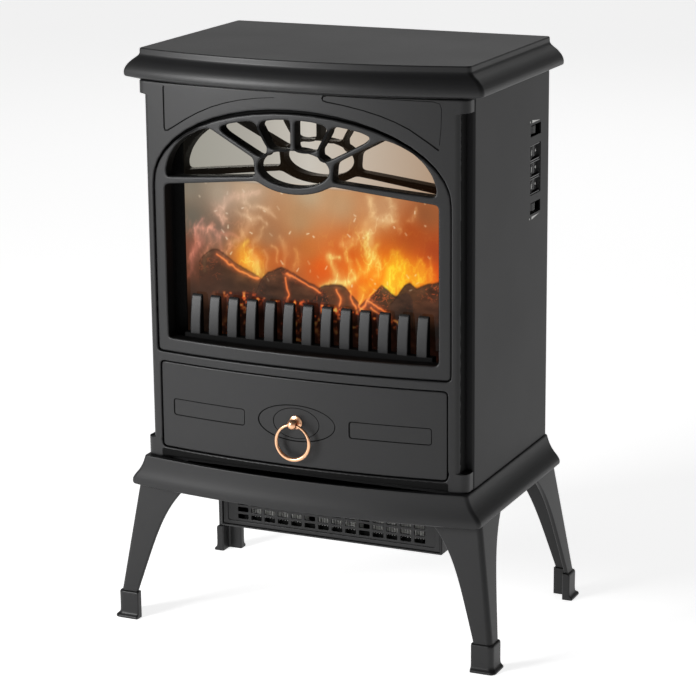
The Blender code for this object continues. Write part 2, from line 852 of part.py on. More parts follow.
def sector():
    """The long opening between the lowest spoke and the cross bar, on the right."""
    edge_in, edge_out = spoke_edge(spoke_feet[2], 1)
    inner_x = oval_half + oval_rim + 0.6 * mm
    start_x, end_x = edge_out.x, sun_half - 4.5 * mm
    steps = 7
    points = [(inner_x, bar_z(inner_x)), (inner_x, edge_in.y), (edge_out.x, sun_z(edge_out.x))]
    radii = [opening_corner_radius, 1.5 * opening_corner_radius, 2 * mm]
    for i in range(1, steps):
        x = start_x + (end_x - start_x) * math.sin(math.pi / 2 * i / steps)
        points.append((x, sun_z(x)))
        radii.append(0)
    outer_x = sun_half - 1.5 * mm
    points += [(outer_x, bar_z(outer_x) + 8 * mm), (outer_x, bar_z(outer_x))]
    radii += [0, opening_corner_radius]
    return rounded(points, radii, 4)


def main_light():
    """The large opening under the cross bar, which dips round the oval's rim."""
    rim_half, rim_rise = oval_half + oval_rim, oval_rise + oval_rim_foot
    dip_x = rim_half * 0.86
    points = [(glass_half, glass_bottom), (glass_half, bar_z(glass_half) - bar_height)]
    radii = [glass_corner_radius, 3 * mm]
    dip_start = math.acos(dip_x / rim_half)
    for i in range(9):
        angle = dip_start + (math.pi - 2 * dip_start) * i / 8
        x = rim_half * math.cos(angle)
        points.append((x, oval_centre_z - rim_rise * math.sin(angle)))
        radii.append(3 * mm if i in (0, 8) else 0)
    points += [(-glass_half, bar_z(glass_half) - bar_height), (-glass_half, glass_bottom)]
    radii += [3 * mm, glass_corner_radius]
    return rounded(points, radii, 4)


def mirrored(outline):
    return [(-x, z) for x, z in reversed(outline)]


def sunburst_openings():
    top, middle, low = spoke_feet
    right = [petal(middle, top), petal(low, middle), sector()]
    return right + [mirrored(shape) for shape in right]


def build_window_frame():
    """The arched insert with the sunburst grille, bowed like the front."""
    half = arch_half - window_side_gap
    outline = arch_outline(half, arch_rise - window_top_gap, window_bottom + gap, arch_corner_radius - gap)
    oval = ellipse_arc(oval_half, oval_rise, oval_centre_z, 0, math.tau * 23 / 24, 23)
    holes = [main_light(), oval, *sunburst_openings()]
    plate = bent(slab(outline, holes, window_wall), body_half, frame_bow)
    add("window_frame", moved(plate, (0, frame_corner_y + window_recess, 0)), STOVE_PAINT)


def grate_front():
    """The grate stands just behind the window frame, which bows away from it."""
    return front_y(grate_rail_half) + window_recess + window_wall + grate_clearance


def screen_front():
    return grate_front() + grate_depth + screen_clearance


def build_grate():
    """A straight rail with a row of curved fingers standing on it."""
    front = grate_front()
    back = front + grate_depth
    rail = box((-grate_rail_half, front, grate_rail_low), (grate_rail_half, back, grate_rail_top))
    grate = add("grate_fingers", rail, STOVE_PAINT)
    foot = grate_rail_top - finger_foot_sink
    steps = 7
    profile = []  # (y, z): the front edge leans back towards the tip, and the back one less
    for i in range(steps + 1):
        share = i / steps
        lean = grate_depth * 0.62 * share**2.2
        profile.append((front + 0.5 * mm + lean, foot + (finger_top - foot) * share))
    tip = finger_top - finger_back_depth * 0.7
    for i in range(steps + 1):
        share = 1 - i / steps
        lean = (finger_back_depth - 0.4 * mm) * share**2
        profile.append((back - finger_back_depth + lean, foot + (tip - foot) * share))
    fingers = []
    for i in range(finger_count):
        x = (i - (finger_count - 1) / 2) * finger_pitch - finger_width / 2
        fingers.append(moved(slab(profile, [], finger_width, across="X"), (x, 0, 0)))
    join(grate, merged(*fingers), "fingers")


def build_firebox():
    """The black liner round the screen, the screen itself and the shelf under both."""
    outer = screen_half + liner_overlap
    high = screen_top + liner_overlap
    front = front_y(outer) + window_recess + window_wall + gap
    screen_y = screen_front()
    liner = slab(
        rectangle(outer, liner_low, high),
        [rectangle(outer - liner_wall, liner_low + liner_wall, high - liner_wall)],
        screen_y - front + screen_thickness + liner_back_reach,
    )
    body = add("firebox_liner", moved(liner, (0, front, 0)), DARK_PLASTIC)
    inset = liner_wall / 2
    mask = slab(
        rectangle(outer - inset, liner_low + inset, high - inset),
        [rectangle(liner_sight, screen_bottom + mask_edge, screen_top - mask_edge)],
        mask_wall,
    )
    join(body, moved(mask, (0, screen_y - gap - mask_wall, 0)), "mask")
    back = screen_y + screen_thickness
    screen = box((-screen_half, screen_y, screen_bottom), (screen_half, back, screen_top))
    add("flame_screen", screen, FLAME_PRINT)
    half = body_half - sheet - panel_flange - 1 * mm
    front = frame_back + 2 * sheet
    shelf = box((-half, front, shelf_top - sheet), (half, shelf_back, shelf_top))
    add("firebox_shelf", shelf, BARE_STEEL)


def build_lamp_board():
    """The lamp board on its standoff, on the shelf behind the screen."""
    front = screen_front() + board_setback
    low = shelf_top + gap + board_rise
    board = box((-board_half, front, low), (board_half, front + board_depth, low + board_thickness))
    middle = front + board_depth / 2
    half = lamp_width / 2
    pitch = 2 * (board_half - lamp_width - 6 * mm) / (lamp_count - 1)
    lamps = []
    for i in range(lamp_count):
        x = (i - (lamp_count - 1) / 2) * pitch
        top = low + board_thickness + lamp_height
        lamps.append(box((x - half, middle - half, low + 1 * mm), (x + half, middle + half, top)))
    join(add("led_board", board, BOARD_GREEN), merged(*lamps), "lamps")
    standoff_half = (8 * mm, 3 * mm)
    low_corner = (-standoff_half[0], middle - standoff_half[1], shelf_top + gap)
    high_corner = (standoff_half[0], middle + standoff_half[1], low - gap)
    add("led_board_standoff", box(low_corner, high_corner), DARK_PLASTIC)


def build_flame_drive():
    """The turning flicker spindle, its bracket, its motor and a reflector."""
    y = screen_front() + spindle_setback
    foot = shelf_top + gap
    bore = spindle_rod_radius + running_gap / 2
    axle_left, axle_right = -spindle_half - 6 * mm, spindle_half + 4 * mm
    axle = rod((axle_left, y, spindle_z), (axle_right, y, spindle_z), spindle_rod_radius, 12)
    spindle = add("flame_spindle", axle, BARE_STEEL, origin=(0, y, spindle_z))
    fins = []
    half = spindle_fin_half_length
    for i in range(spindle_fins):
        x = -spindle_half + (i + 0.5) * 2 * spindle_half / spindle_fins
        fin = box((x - half, -0.4 * mm, -spindle_fin), (x + half, 0.4 * mm, spindle_fin))
        turn = Matrix.Rotation(i * spindle_fin_turn, 4, "X")
        fin.transform(Matrix.Translation((0, y, spindle_z)) @ turn)
        fins.append(fin)
    join(spindle, merged(*fins), "fins")

    wall = spindle_bracket_wall
    x = -spindle_half - 5 * mm
    reach = 4 * spindle_rod_radius
    plate = box((x, y - reach, foot), (x + wall, y + reach, spindle_z + reach - 2 * mm))
    bracket = add("spindle_bracket", plate, BARE_STEEL)
    cut(bracket, rod((x - past, y, spindle_z), (x + wall + past, y, spindle_z), bore, 16), "bearing")

    x = axle_right - 3 * mm
    end = x + spindle_motor_length
    body = rod((x, y, spindle_z), (end, y, spindle_z), spindle_motor_radius, 24)
    motor = add("spindle_motor", body, BARE_STEEL)
    cut(motor, rod((x - past, y, spindle_z), (axle_right + 1 * mm, y, spindle_z), bore, 16), "socket")
    post_half = 6 * mm
    post_top = spindle_z - spindle_motor_radius * 0.9
    post = box((x + 3 * mm, y - post_half, foot), (end - 3 * mm, y + post_half, post_top))
    join(motor, post, "post")

    back = y + reflector_setback
    top = foot + reflector_height
    shape = [  # (y, z), leaning back
        (back, foot),
        (back + reflector_lean, top),
        (back + reflector_lean + 1 * mm, top),
        (back + 1 * mm, foot),
    ]
    half = spindle_half - 2 * mm
    reflector = slab(shape, [], 2 * half, across="X")
    add("light_reflector", moved(reflector, (-half, 0, 0)), BARE_STEEL)


# ---------------------------------------------------------------------- drawer
def build_drawer():
    """A bowed front with an open tray behind it, on two runners."""
    half = drawer_half - drawer_gap
    low, high = drawer_bottom + drawer_gap, drawer_top - drawer_gap
    outline = rounded(rectangle(half, low, high), [drawer_corner_radius - gap] * 4)
    plate = bent(slab(outline, [], drawer_front_wall), body_half, frame_bow)
    front = add("drawer_front", moved(plate, (0, frame_corner_y + drawer_recess, 0)), STOVE_PAINT)
    surface = front_y() + drawer_recess
    hole_end = surface + drawer_front_wall + past
    hole = rod((0, surface - past, pull_z), (0, hole_end, pull_z), pull_stem_radius + gap, 12)
    cut(front, hole, "post_hole")

    tray_front = frame_corner_y + drawer_recess + drawer_front_wall + gap
    tray_back = tray_front + tray_length
    floor = drawer_bottom + tray_rise
    tray_top = floor + tray_height
    block = box((-tray_half, tray_front, floor), (tray_half, tray_back, tray_top))
    tray = add("drawer_tray", block, STOVE_PAINT)
    inner = tray_half - tray_wall
    low_corner = (-inner, tray_front + tray_wall, floor + tray_wall)
    cut(tray, box(low_corner, (inner, tray_back - tray_wall, tray_top + past)), "inside")

    ledge_z = floor - running_gap / 2
    wall_x = tray_half + running_gap
    profile = [  # (x, z): a ledge under the tray, on a wall that stands on the base
        (wall_x - runner_ledge, ledge_z),
        (wall_x, ledge_z),
        (wall_x, floor + runner_height),
        (wall_x + sheet, floor + runner_height),
        (wall_x + sheet, body_bottom + gap),
        (wall_x, body_bottom + gap),
        (wall_x, ledge_z - sheet),
        (wall_x - runner_ledge, ledge_z - sheet),
    ]
    start, end = frame_back + 2 * mm, tray_back + runner_overrun
    for side, name in ((-1, "drawer_runner_left"), (1, "drawer_runner_right")):
        shape = [(side * x, z) for x, z in profile]
        add(name, moved(slab(shape, [], end - start), (0, start, 0)), BARE_STEEL)


def build_pull():
    """A ring that hangs free in the eye of a ball post, with a small rosette behind it."""
    surface = front_y() + drawer_recess
    ball_y = surface - pull_standoff
    ball_at = (0, ball_y, pull_z)
    post = add("ring_post", ball(ball_at, pull_ball_radius), ROSE_BRASS)
    stem_start = (0, ball_y + pull_ball_radius * 0.6, pull_z)
    stem_end = (0, surface + drawer_front_wall + pull_stem_reach, pull_z)
    join(post, rod(stem_start, stem_end, pull_stem_radius, 12), "stem")
    reach = pull_ball_radius + past
    cut(post, rod((-reach, ball_y, pull_z), (reach, ball_y, pull_z), pull_eye_radius, 14), "eye")

    crown = (0, surface - gap - rosette_thickness, pull_z)
    disc = rod(crown, (0, surface - gap, pull_z), rosette_crown_radius, 20, end_radius=rosette_radius)
    rosette = add("ring_rosette", disc, ROSE_BRASS)
    bore = rod((0, surface - past, pull_z), (0, surface + past, pull_z), pull_stem_radius + gap, 12)
    cut(rosette, bore, "bore")

    curve = bpy.data.curves.new("ring", "CURVE")
    curve.dimensions = "3D"
    curve.bevel_depth = 1 * mm
    curve.bevel_resolution = 2
    spline = curve.splines.new("POLY")
    count = 32
    spline.points.add(count - 1)
    for i, spot in enumerate(spline.points):
        angle = math.tau * i / count
        low_share = (1 - math.cos(angle)) / 2  # 0 at the top of the ring, 1 at its foot
        thick = pull_wire_top + (pull_wire_bottom - pull_wire_top) * low_share
        drop = pull_ring_radius * (1 - math.cos(angle)) + pull_ring_sag
        spot.co = (pull_ring_radius * math.sin(angle), ball_y, pull_z - drop, 1)
        spot.radius = thick / curve.bevel_depth
    spline.use_cyclic_u = True
    drawn = bpy.data.objects.new("ring", curve)
    cutters.objects.link(drawn)
    graph = bpy.context.evaluated_depsgraph_get()
    mesh = bpy.data.meshes.new_from_object(drawn.evaluated_get(graph))
    bpy.data.objects.remove(drawn)
    add("ring_pull", mesh, ROSE_BRASS, origin=ball_at)


# ---------------------------------------------------------------------- heater
def element_front():
    return heater_front + grille_setback + grille_wall + blower_clearance


def build_heater():
    """The fan heater's housing, its grille, its element and its thermal cutout."""
    back = heater_front + heater_depth
    high = base_bottom - gap
    shell = box((-heater_half, heater_front, heater_bottom), (heater_half, back, high))
    housing = add("heater_housing", shell, DARK_PLASTIC)
    inner = heater_half - heater_wall
    floor, ceiling = heater_bottom + heater_wall, high - heater_wall
    cut(housing, box((-inner, heater_front - past, floor), (inner, back - heater_wall, ceiling)), "inside")
    duct = box((-duct_half, duct_front, high - 2 * past), (duct_half, duct_back, high + past))
    cut(housing, duct, "duct")

    slots = []
    for row in range(slot_rows):
        z = slot_first_z + row * slot_pitch_z
        for column in range(slot_columns):
            x = (column - (slot_columns - 1) / 2) * slot_pitch_x
            slots.append(rectangle(slot_width / 2, z, z + slot_height, x))
    grille = slab(rectangle(inner - gap, floor + gap, ceiling - gap), slots, grille_wall)
    add("heater_grille", moved(grille, (0, heater_front + grille_setback, 0)), STOVE_PAINT)

    y = element_front()
    low_corner = (-element_half, y, heater_bottom + element_foot)
    high_corner = (element_half, y + element_depth, high - element_headroom)
    add("heating_element", box(low_corner, high_corner), WHITE_CERAMIC)
    x, z = element_half + 6 * mm, high - 20 * mm
    start = y + 4 * mm
    cutout = rod((x, start, z), (x, start + cutout_thickness, z), cutout_radius)
    add("thermal_cutout", cutout, BARE_STEEL)


def build_blower():
    """A drum rotor on a shaft behind the element, with a bearing on its left and a motor."""
    y = element_front() + element_depth + blower_clearance + rotor_radius
    z = heater_bottom + heater_wall + 5 * mm + rotor_radius
    centre = (0, y, z)

    def along(start, end, radius, sides=16):
        return rod((start, y, z), (end, y, z), radius, sides)

    left, right = rotor_shift - rotor_half, rotor_shift + rotor_half
    shaft = along(left - rotor_shaft_reach, left + rotor_disc, rotor_shaft_radius, 12)
    rotor = add("blower_rotor", shaft, BARE_STEEL, origin=centre)
    starts = (left, (left + right - rotor_disc) / 2, right - rotor_disc)
    join(rotor, merged(*[along(x, x + rotor_disc, rotor_radius, 24) for x in starts]), "discs")
    blades = []
    outer = rotor_radius - rotor_blade_edge
    half = rotor_blade_thickness / 2
    for i in range(rotor_blades):
        low_corner = (left + rotor_disc / 2, -half, outer - rotor_blade_depth)
        blade = box(low_corner, (right - rotor_disc / 2, half, outer))
        turn = Matrix.Rotation(math.tau * i / rotor_blades, 4, "X")
        blade.transform(Matrix.Translation(centre) @ turn)
        blades.append(blade)
    join(rotor, merged(*blades), "blades")
    stub_end = right + rotor_shaft_reach - 1 * mm
    join(rotor, along(right - rotor_disc / 2, stub_end, rotor_shaft_radius, 12), "stub")

    bore = rotor_shaft_radius + running_gap / 2
    start = right + blower_clearance
    body = along(start, start + blower_motor_length, blower_motor_radius, 24)
    cut(add("blower_motor", body, BARE_STEEL), along(start - past, stub_end + 1 * mm, bore), "socket")
    start = left - 1 * mm - blower_bearing_length
    bush = along(start, start + blower_bearing_length, blower_bearing_radius)
    cut(add("blower_bearing", bush, ROSE_BRASS), along(start - past, left, bore), "bore")


# -------------------------------------------------------------------- controls
def build_switches():
    """Three rocker switches, one over the other, each in its own body."""
    half = control_width / 2 - gap
    face = body_half - bezel_setback
    well_half = half - bezel_wall
    key_half = well_half - rocker_side_gap
    tall = rocker_pitch / 2 - gap / 2
    well_tall = tall - bezel_wall
    key_tall = well_tall - rocker_end_gap
    pivot_x = face - rocker_pivot_depth
    for name, z in zip(rocker_names, rocker_z):
        low_corner = (switch_back_x, control_y - half, z - tall)
        block = box(low_corner, (face, control_y + half, z + tall))
        body = add(f"switch_body_{name}", block, SWITCH_PLASTIC)
        low_corner = (face - well_depth, control_y - well_half, z - well_tall)
        cut(body, box(low_corner, (face + past, control_y + well_half, z + well_tall)), "well")
        crown, dip, shoulder, keel = 4.6 * mm, 3.4 * mm, 1 * mm, 3.2 * mm
        shoulder_half, keel_half = key_half - 0.6 * mm, 4 * mm
        profile = [  # (x, y), a shallow V on the outside and a blunt keel inside
            (pivot_x + crown, control_y - key_half),
            (pivot_x + dip, control_y),
            (pivot_x + crown, control_y + key_half),
            (pivot_x - shoulder, control_y + shoulder_half),
            (pivot_x - keel, control_y + keel_half),
            (pivot_x - keel, control_y - keel_half),
            (pivot_x - shoulder, control_y - shoulder_half),
        ]
        key = moved(slab(profile, [], 2 * key_tall, across="Z"), (0, 0, z - key_tall))
        rocker = add(f"rocker_{name}", key, SWITCH_PLASTIC, origin=(pivot_x, control_y, z))
        rocker.rotation_euler = (0, 0, rocker_rest_tilt)


def build_dials():
    """Two thumbwheels, whose knurled rims stand just inside their slots, and their bodies."""
    x = body_half - wheel_setback - wheel_radius
    half_x, half_y = dial_body_half
    for name, z, up in (("thermostat", wheel_z[0], 1), ("dimmer", wheel_z[1], -1)):
        rim = gear_outline(wheel_radius, wheel_tooth, wheel_teeth, (x, control_y))
        wheel = slab(rim, [circle(wheel_bore, (x, control_y), 12)], wheel_thickness, across="Z")
        wheel = moved(wheel, (0, 0, z - wheel_thickness / 2))
        add(f"{name}_wheel", wheel, SWITCH_PLASTIC, origin=(x, control_y, z))
        face = z + up * (wheel_thickness / 2 + running_gap)
        far = face + up * dial_body_height
        low_corner = (x - half_x, control_y - half_y, min(face, far))
        high_corner = (body_half - sheet - gap, control_y + half_y, max(face, far))
        holder = add(f"{name}_body", box(low_corner, high_corner), DARK_PLASTIC)
        pin_start = (x, control_y, face + up * 1 * mm)
        pin_end = (x, control_y, z - up * wheel_thickness * 0.3)
        join(holder, rod(pin_start, pin_end, wheel_bore - running_gap / 2, 12), "pin")


def build_control_bracket():
    """The plate behind the switches and dials, and the terminal block on the rear cover."""
    margin = dial_body_height + wheel_thickness
    x, half = switch_back_x - gap, control_bracket_half
    low_corner = (x - sheet, control_y - half, min(wheel_z) - margin)
    bracket = box(low_corner, (x, control_y + half, max(wheel_z) + margin))
    add("control_bracket", bracket, BARE_STEEL)
    long, deep, tall = terminal_size
    x, z = cable_inlet[0] - terminal_offset, cable_inlet[1]
    back = rear_cover_face() - gap
    low_corner = (x - long / 2, back - deep, z - tall / 2)
    add("terminal_block", box(low_corner, (x + long / 2, back, z + tall / 2)), WHITE_CERAMIC)


build_top_plate()
build_front_frame()
build_side_panels()
build_rear_cover()
build_cable_gland()
build_base()
build_bottom_cover()
build_legs()
build_window_frame()
build_grate()
build_firebox()
build_lamp_board()
build_flame_drive()
build_drawer()
build_pull()
build_heater()
build_blower()
build_switches()
build_dials()
build_control_bracket()

for piece in pieces.objects:
    if piece.type == "MESH":
        piece.data.shade_smooth()
        piece.data.set_sharp_from_angle(angle=math.radians(35))
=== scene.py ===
"""Looks for a free-standing electric fireplace, built around its packed CAD frame.

Lengths are in metres, Z is up and the front faces -Y. Every piece stands at the origin
with its place in its mesh, and rides on the CAD body that it belongs to.
"""

import json
import math

import bmesh
import bpy
import numpy as np
from bpy.props import FloatProperty, FloatVectorProperty, IntProperty, PointerProperty
from mathutils import Matrix, Vector


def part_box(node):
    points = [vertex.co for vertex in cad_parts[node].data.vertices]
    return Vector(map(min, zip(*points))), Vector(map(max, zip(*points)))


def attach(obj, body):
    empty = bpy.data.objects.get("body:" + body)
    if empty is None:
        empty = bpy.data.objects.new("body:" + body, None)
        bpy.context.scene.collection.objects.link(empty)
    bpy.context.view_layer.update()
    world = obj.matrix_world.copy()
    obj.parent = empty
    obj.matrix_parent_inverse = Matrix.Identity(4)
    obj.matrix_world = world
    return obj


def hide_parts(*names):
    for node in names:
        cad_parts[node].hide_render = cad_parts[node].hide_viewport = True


bl_info = {
    "name": "Stove Heater Builder",
    "version": (1, 0, 0),
    "blender": (4, 5, 0),
    "location": "3D View > Sidebar > Stove",
    "description": "Builds the casing, grate, flame picture, heater and studio of a stove heater",
    "category": "Object",
}

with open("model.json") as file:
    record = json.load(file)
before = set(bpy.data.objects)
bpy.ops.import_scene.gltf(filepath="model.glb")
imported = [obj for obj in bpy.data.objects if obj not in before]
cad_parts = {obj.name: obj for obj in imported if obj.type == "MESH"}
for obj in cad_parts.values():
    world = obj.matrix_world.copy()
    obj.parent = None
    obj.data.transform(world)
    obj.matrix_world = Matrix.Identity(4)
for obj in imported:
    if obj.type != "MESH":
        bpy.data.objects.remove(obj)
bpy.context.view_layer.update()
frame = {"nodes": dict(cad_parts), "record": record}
SLOT_OF = {row["node"]: row["material_slot"] for row in frame["record"]["subparts"]}
BODY_OF = {
    node: body for body, members in frame["record"]["behaviour"]["bodies"].items() for node in members
}

mm = 0.001
PANEL_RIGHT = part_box("side_panel_right")
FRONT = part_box("front_frame")
BODY_HALF = PANEL_RIGHT[1].x
BODY_BACK = PANEL_RIGHT[1].y
FRONT_Y = FRONT[0].y  # the front's most forward line, at x = 0
FRONT_BACK = FRONT[1].y
FRONT_LOW, FRONT_HIGH = FRONT[0].z, FRONT[1].z
BOW = 15 * mm  # how far the front stands forward of its corners
CORNER_Y = FRONT_Y + BOW


# -------------------------------------------------------------------- settings
class StoveFinish(bpy.types.PropertyGroup):
    """Colours and gloss of the stove's finishes."""

    paint: FloatVectorProperty(
        name="Paint",
        description="Charcoal black of the casing",
        subtype="COLOR",
        size=3,
        default=(0.013, 0.013, 0.0135),
        min=0,
        max=1,
    )
    paint_roughness: FloatProperty(
        name="Paint roughness", description="Satin gloss of the paint", default=0.42, min=0, max=1
    )
    paint_grain: FloatProperty(
        name="Paint grain",
        description="Strength of the fine texture in the paint",
        default=0.16,
        min=0,
        max=1,
    )
    brass: FloatVectorProperty(
        name="Rose brass",
        description="Colour of the drawer's ring",
        subtype="COLOR",
        size=3,
        default=(0.80, 0.46, 0.29),
        min=0,
        max=1,
    )


class StoveShape(bpy.types.PropertyGroup):
    """Small sizes of the shapes that the frame leaves plain."""

    edge: FloatProperty(
        name="Edge", description="Rounding of cast edges", default=1.4 * mm, unit="LENGTH", min=0
    )
    grille_edge: FloatProperty(
        name="Grille edge",
        description="Rounding of the sunburst's bars",
        default=1.8 * mm,
        unit="LENGTH",
        min=0,
    )
    groove: FloatProperty(
        name="Groove",
        description="Depth of the engraved lines",
        default=0.75 * mm,
        unit="LENGTH",
        min=0,
    )
    fin_pitch: FloatProperty(
        name="Fin pitch",
        description="Distance between the element's fins",
        default=2.6 * mm,
        unit="LENGTH",
        min=0,
    )
    screw: FloatProperty(
        name="Screw", description="Radius of a screw's head", default=3.4 * mm, unit="LENGTH", min=0
    )


class FlamePicture(bpy.types.PropertyGroup):
    """The printed flames and embers on the screen."""

    glow: FloatProperty(name="Glow", description="Brightness of the picture", default=1.0, min=0)
    sparks: IntProperty(name="Sparks", description="Number of flying sparks", default=46, min=0)
    seed: IntProperty(name="Seed", description="Start of the picture's random draws", default=11, min=0)


class StudioLight(bpy.types.PropertyGroup):
    """Floor and lights round the stove."""

    world: FloatProperty(name="Room light", description="Strength of the even light", default=0.36, min=0)
    key: FloatProperty(
        name="Key light", description="Power of the large soft light", default=24.0, unit="POWER", min=0
    )
    floor_glow: FloatProperty(name="Floor glow", description="Even light of the floor", default=0.8, min=0)
    floor: FloatVectorProperty(
        name="Floor",
        description="Colour of the floor",
        subtype="COLOR",
        size=3,
        default=(0.92, 0.92, 0.92),
        min=0,
        max=1,
    )


def finish_of():
    return bpy.context.scene.stove_finish


def shape_of():
    return bpy.context.scene.stove_shape


# ------------------------------------------------------------------- materials
def surface(name):
    """A new material, its Principled shader and its node tree. Where the material exists
    already, None stands for the last two."""
    found = bpy.data.materials.get(name)
    if found:
        return found, None, None
    made = bpy.data.materials.new(name)
    made.use_nodes = True
    return made, made.node_tree.nodes["Principled BSDF"], made.node_tree


def add_node(tree, kind, **values):
    """A shader node; names that start with a capital set its sockets."""
    node = tree.nodes.new(kind)
    for key, value in values.items():
        if key[0].isupper():
            node.inputs[key.replace("_", " ")].default_value = value
        else:
            setattr(node, key, value)
    return node


def textured(
    name,
    colour,
    roughness,
    metallic=0.0,
    grain=0.1,
    grain_scale=1400.0,
    mottle=0.08,
    stretch=(1, 1, 1),
    spread=0.05,
    shine=0.5,
):
    """A finish with a fine bump, a soft change of colour and an uneven gloss."""
    made, shader, tree = surface(name)
    if shader is None:
        return made
    shader.inputs["Metallic"].default_value = metallic
    shader.inputs["Specular IOR Level"].default_value = shine
    link = tree.links.new
    where = add_node(tree, "ShaderNodeTexCoord")
    scaled = add_node(tree, "ShaderNodeMapping", Scale=stretch)
    link(where.outputs["Object"], scaled.inputs["Vector"])
    broad = add_node(tree, "ShaderNodeTexNoise", Scale=9.0, Detail=4.0)
    link(where.outputs["Object"], broad.inputs["Vector"])
    ramp = add_node(tree, "ShaderNodeValToRGB")
    for stop, share in zip(ramp.color_ramp.elements, (1 - mottle, 1 + mottle)):
        stop.color = (*[min(1.0, c * share) for c in colour], 1)
    ramp.color_ramp.elements[0].position = 0.3
    ramp.color_ramp.elements[1].position = 0.7
    link(broad.outputs["Fac"], ramp.inputs["Fac"])
    link(ramp.outputs["Color"], shader.inputs["Base Color"])
    fine = add_node(tree, "ShaderNodeTexNoise", Scale=grain_scale, Detail=3.0)
    link(scaled.outputs["Vector"], fine.inputs["Vector"])
    gloss = add_node(tree, "ShaderNodeMapRange", To_Min=roughness - spread, To_Max=roughness + spread)
    link(broad.outputs["Fac"], gloss.inputs["Value"])
    link(gloss.outputs["Result"], shader.inputs["Roughness"])
    bump = add_node(tree, "ShaderNodeBump", Strength=grain, Distance=0.0002)
    link(fine.outputs["Fac"], bump.inputs["Height"])
    link(bump.outputs["Normal"], shader.inputs["Normal"])
    return made


def casing_paint():
    """Satin coat on the cast and moulded pieces."""
    finish = finish_of()
    return textured(
        "casing_paint", finish.paint, finish.paint_roughness,
        grain=finish.paint_grain, grain_scale=1700.0, shine=0.32,
    )


def panel_paint():
    """Powder coat on the sheet steel, a little finer and flatter than on the mouldings."""
    finish = finish_of()
    return textured(
        "panel_paint", finish.paint, finish.paint_roughness + 0.02,
        grain=finish.paint_grain * 0.8, grain_scale=2300.0, mottle=0.05, shine=0.14,
    )


# Matte black for the black parts, and painted shade on faces in recesses, gaps and grooves.
def matte_black_and_painted_shade():
    return textured("matte_black_and_painted_shade", (0.003, 0.003, 0.003), 0.7, grain=0.1, mottle=0.2, shine=0.1)


def switch_plastic():
    return textured("switch_plastic", (0.018, 0.018, 0.019), 0.26, grain=0.05, grain_scale=900.0)


def rose_brass():
    return textured(
        "rose_brass", finish_of().brass, 0.17, metallic=1.0, grain=0.04, grain_scale=500.0, spread=0.06
    )


def zinc_steel():
    return textured(
        "zinc_steel", (0.56, 0.56, 0.57), 0.34,
        metallic=1.0, grain=0.14, grain_scale=300.0, stretch=(1, 14, 14),
    )


def white_ceramic():
    return textured("white_ceramic", (0.80, 0.78, 0.74), 0.55, grain=0.3, grain_scale=700.0)


def board_green():
    return textured("board_green", (0.02, 0.16, 0.07), 0.4, grain=0.2, grain_scale=260.0, mottle=0.25)


def mark_white():
    return textured("mark_white", (0.62, 0.62, 0.60), 0.5, grain=0.05)


def fin_aluminium():
    return textured("fin_aluminium", (0.62, 0.62, 0.60), 0.42, metallic=0.15, grain=0.1, grain_scale=420.0)


SLOT_FINISH = {
    "stove_paint": panel_paint,
    "stove_casting": casing_paint,
    "black_plastic": matte_black_and_painted_shade,
    "switch_plastic": switch_plastic,
    "rose_brass": rose_brass,
    "bare_steel": zinc_steel,
    "ceramic": white_ceramic,
    "circuit_board": board_green,
    "flame_print": matte_black_and_painted_shade,
}


# ------------------------------------------------------------------ mesh tools
def to_mesh(name, work, weld=1e-6):
    """Welds a bmesh, turns its faces out and makes it a mesh."""
    bmesh.ops.remove_doubles(work, verts=work.verts, dist=weld)
    bmesh.ops.recalc_face_normals(work, faces=work.faces)
    mesh = bpy.data.meshes.new(name)
    work.to_mesh(mesh)
    work.free()
    return mesh


def put(name, mesh, node, material, stands_for=(), sharp=38, dark=None):
    """A finished piece that rides with a CAD node's body and stands for some nodes. The faces
    that `dark` picks by centre and normal are left unpainted and sooty."""
    mesh.materials.clear()
    mesh.materials.append(material)
    if dark:
        mesh.materials.append(matte_black_and_painted_shade())
        for face in mesh.polygons:
            face.material_index = int(dark(face.center, face.normal))
    mesh.shade_smooth()
    mesh.set_sharp_from_angle(angle=math.radians(sharp))
    piece = bpy.data.objects.new(name, mesh)
    bpy.context.scene.collection.objects.link(piece)
    even = piece.modifiers.new("even_normals", "WEIGHTED_NORMAL")  # keeps large faces flat
    even.weight = 90
    even.keep_sharp = True
    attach(piece, BODY_OF[node])
    if stands_for:
        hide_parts(*stands_for)
    return piece


def merged(*meshes):
    """Joins meshes into one."""
    work = bmesh.new()
    for mesh in meshes:
        work.from_mesh(mesh)
        bpy.data.meshes.remove(mesh)
    return to_mesh("merged", work, weld=1e-9)


def moved(mesh, offset):
    mesh.transform(Matrix.Translation(Vector(offset)))
    return mesh


def box(low, high, edge=0.0, segments=3):
    """A box between two corners, with rounded edges."""
    work = bmesh.new()
    bmesh.ops.create_cube(work, size=1)
    low, high = Vector(low), Vector(high)
    bmesh.ops.scale(work, vec=high - low, verts=work.verts)
    bmesh.ops.translate(work, vec=(low + high) / 2, verts=work.verts)
    if edge:
        bmesh.ops.bevel(
            work, geom=work.edges[:], offset=edge, segments=segments, affect="EDGES", profile=0.5
        )
    return to_mesh("box", work)


def loft(rings, capped=True):
    """A closed solid through rings of points with equal counts."""
    work = bmesh.new()
    loops = [[work.verts.new(point) for point in ring] for ring in rings]
    for lower, upper in zip(loops, loops[1:]):
        for i in range(len(lower)):
            j = (i + 1) % len(lower)
            work.faces.new((lower[i], lower[j], upper[j], upper[i]))
    if capped:
        work.faces.new(loops[0])
        work.faces.new(loops[-1])
    return to_mesh("loft", work, weld=1e-7)


def turned(profile, start, end, sides=48):
    """A turned solid: the profile is (radius, share of the way from start to end)."""
    start, end = Vector(start), Vector(end)
    turn = (end - start).to_track_quat("Z", "Y").to_matrix()
    rings = []
    for radius, share in profile:
        ring = []
        for i in range(sides):
            angle = math.tau * i / sides
            across = Vector((radius * math.cos(angle), radius * math.sin(angle), 0))
            ring.append(start + (end - start) * share + turn @ across)
        rings.append(ring)
    return loft(rings)


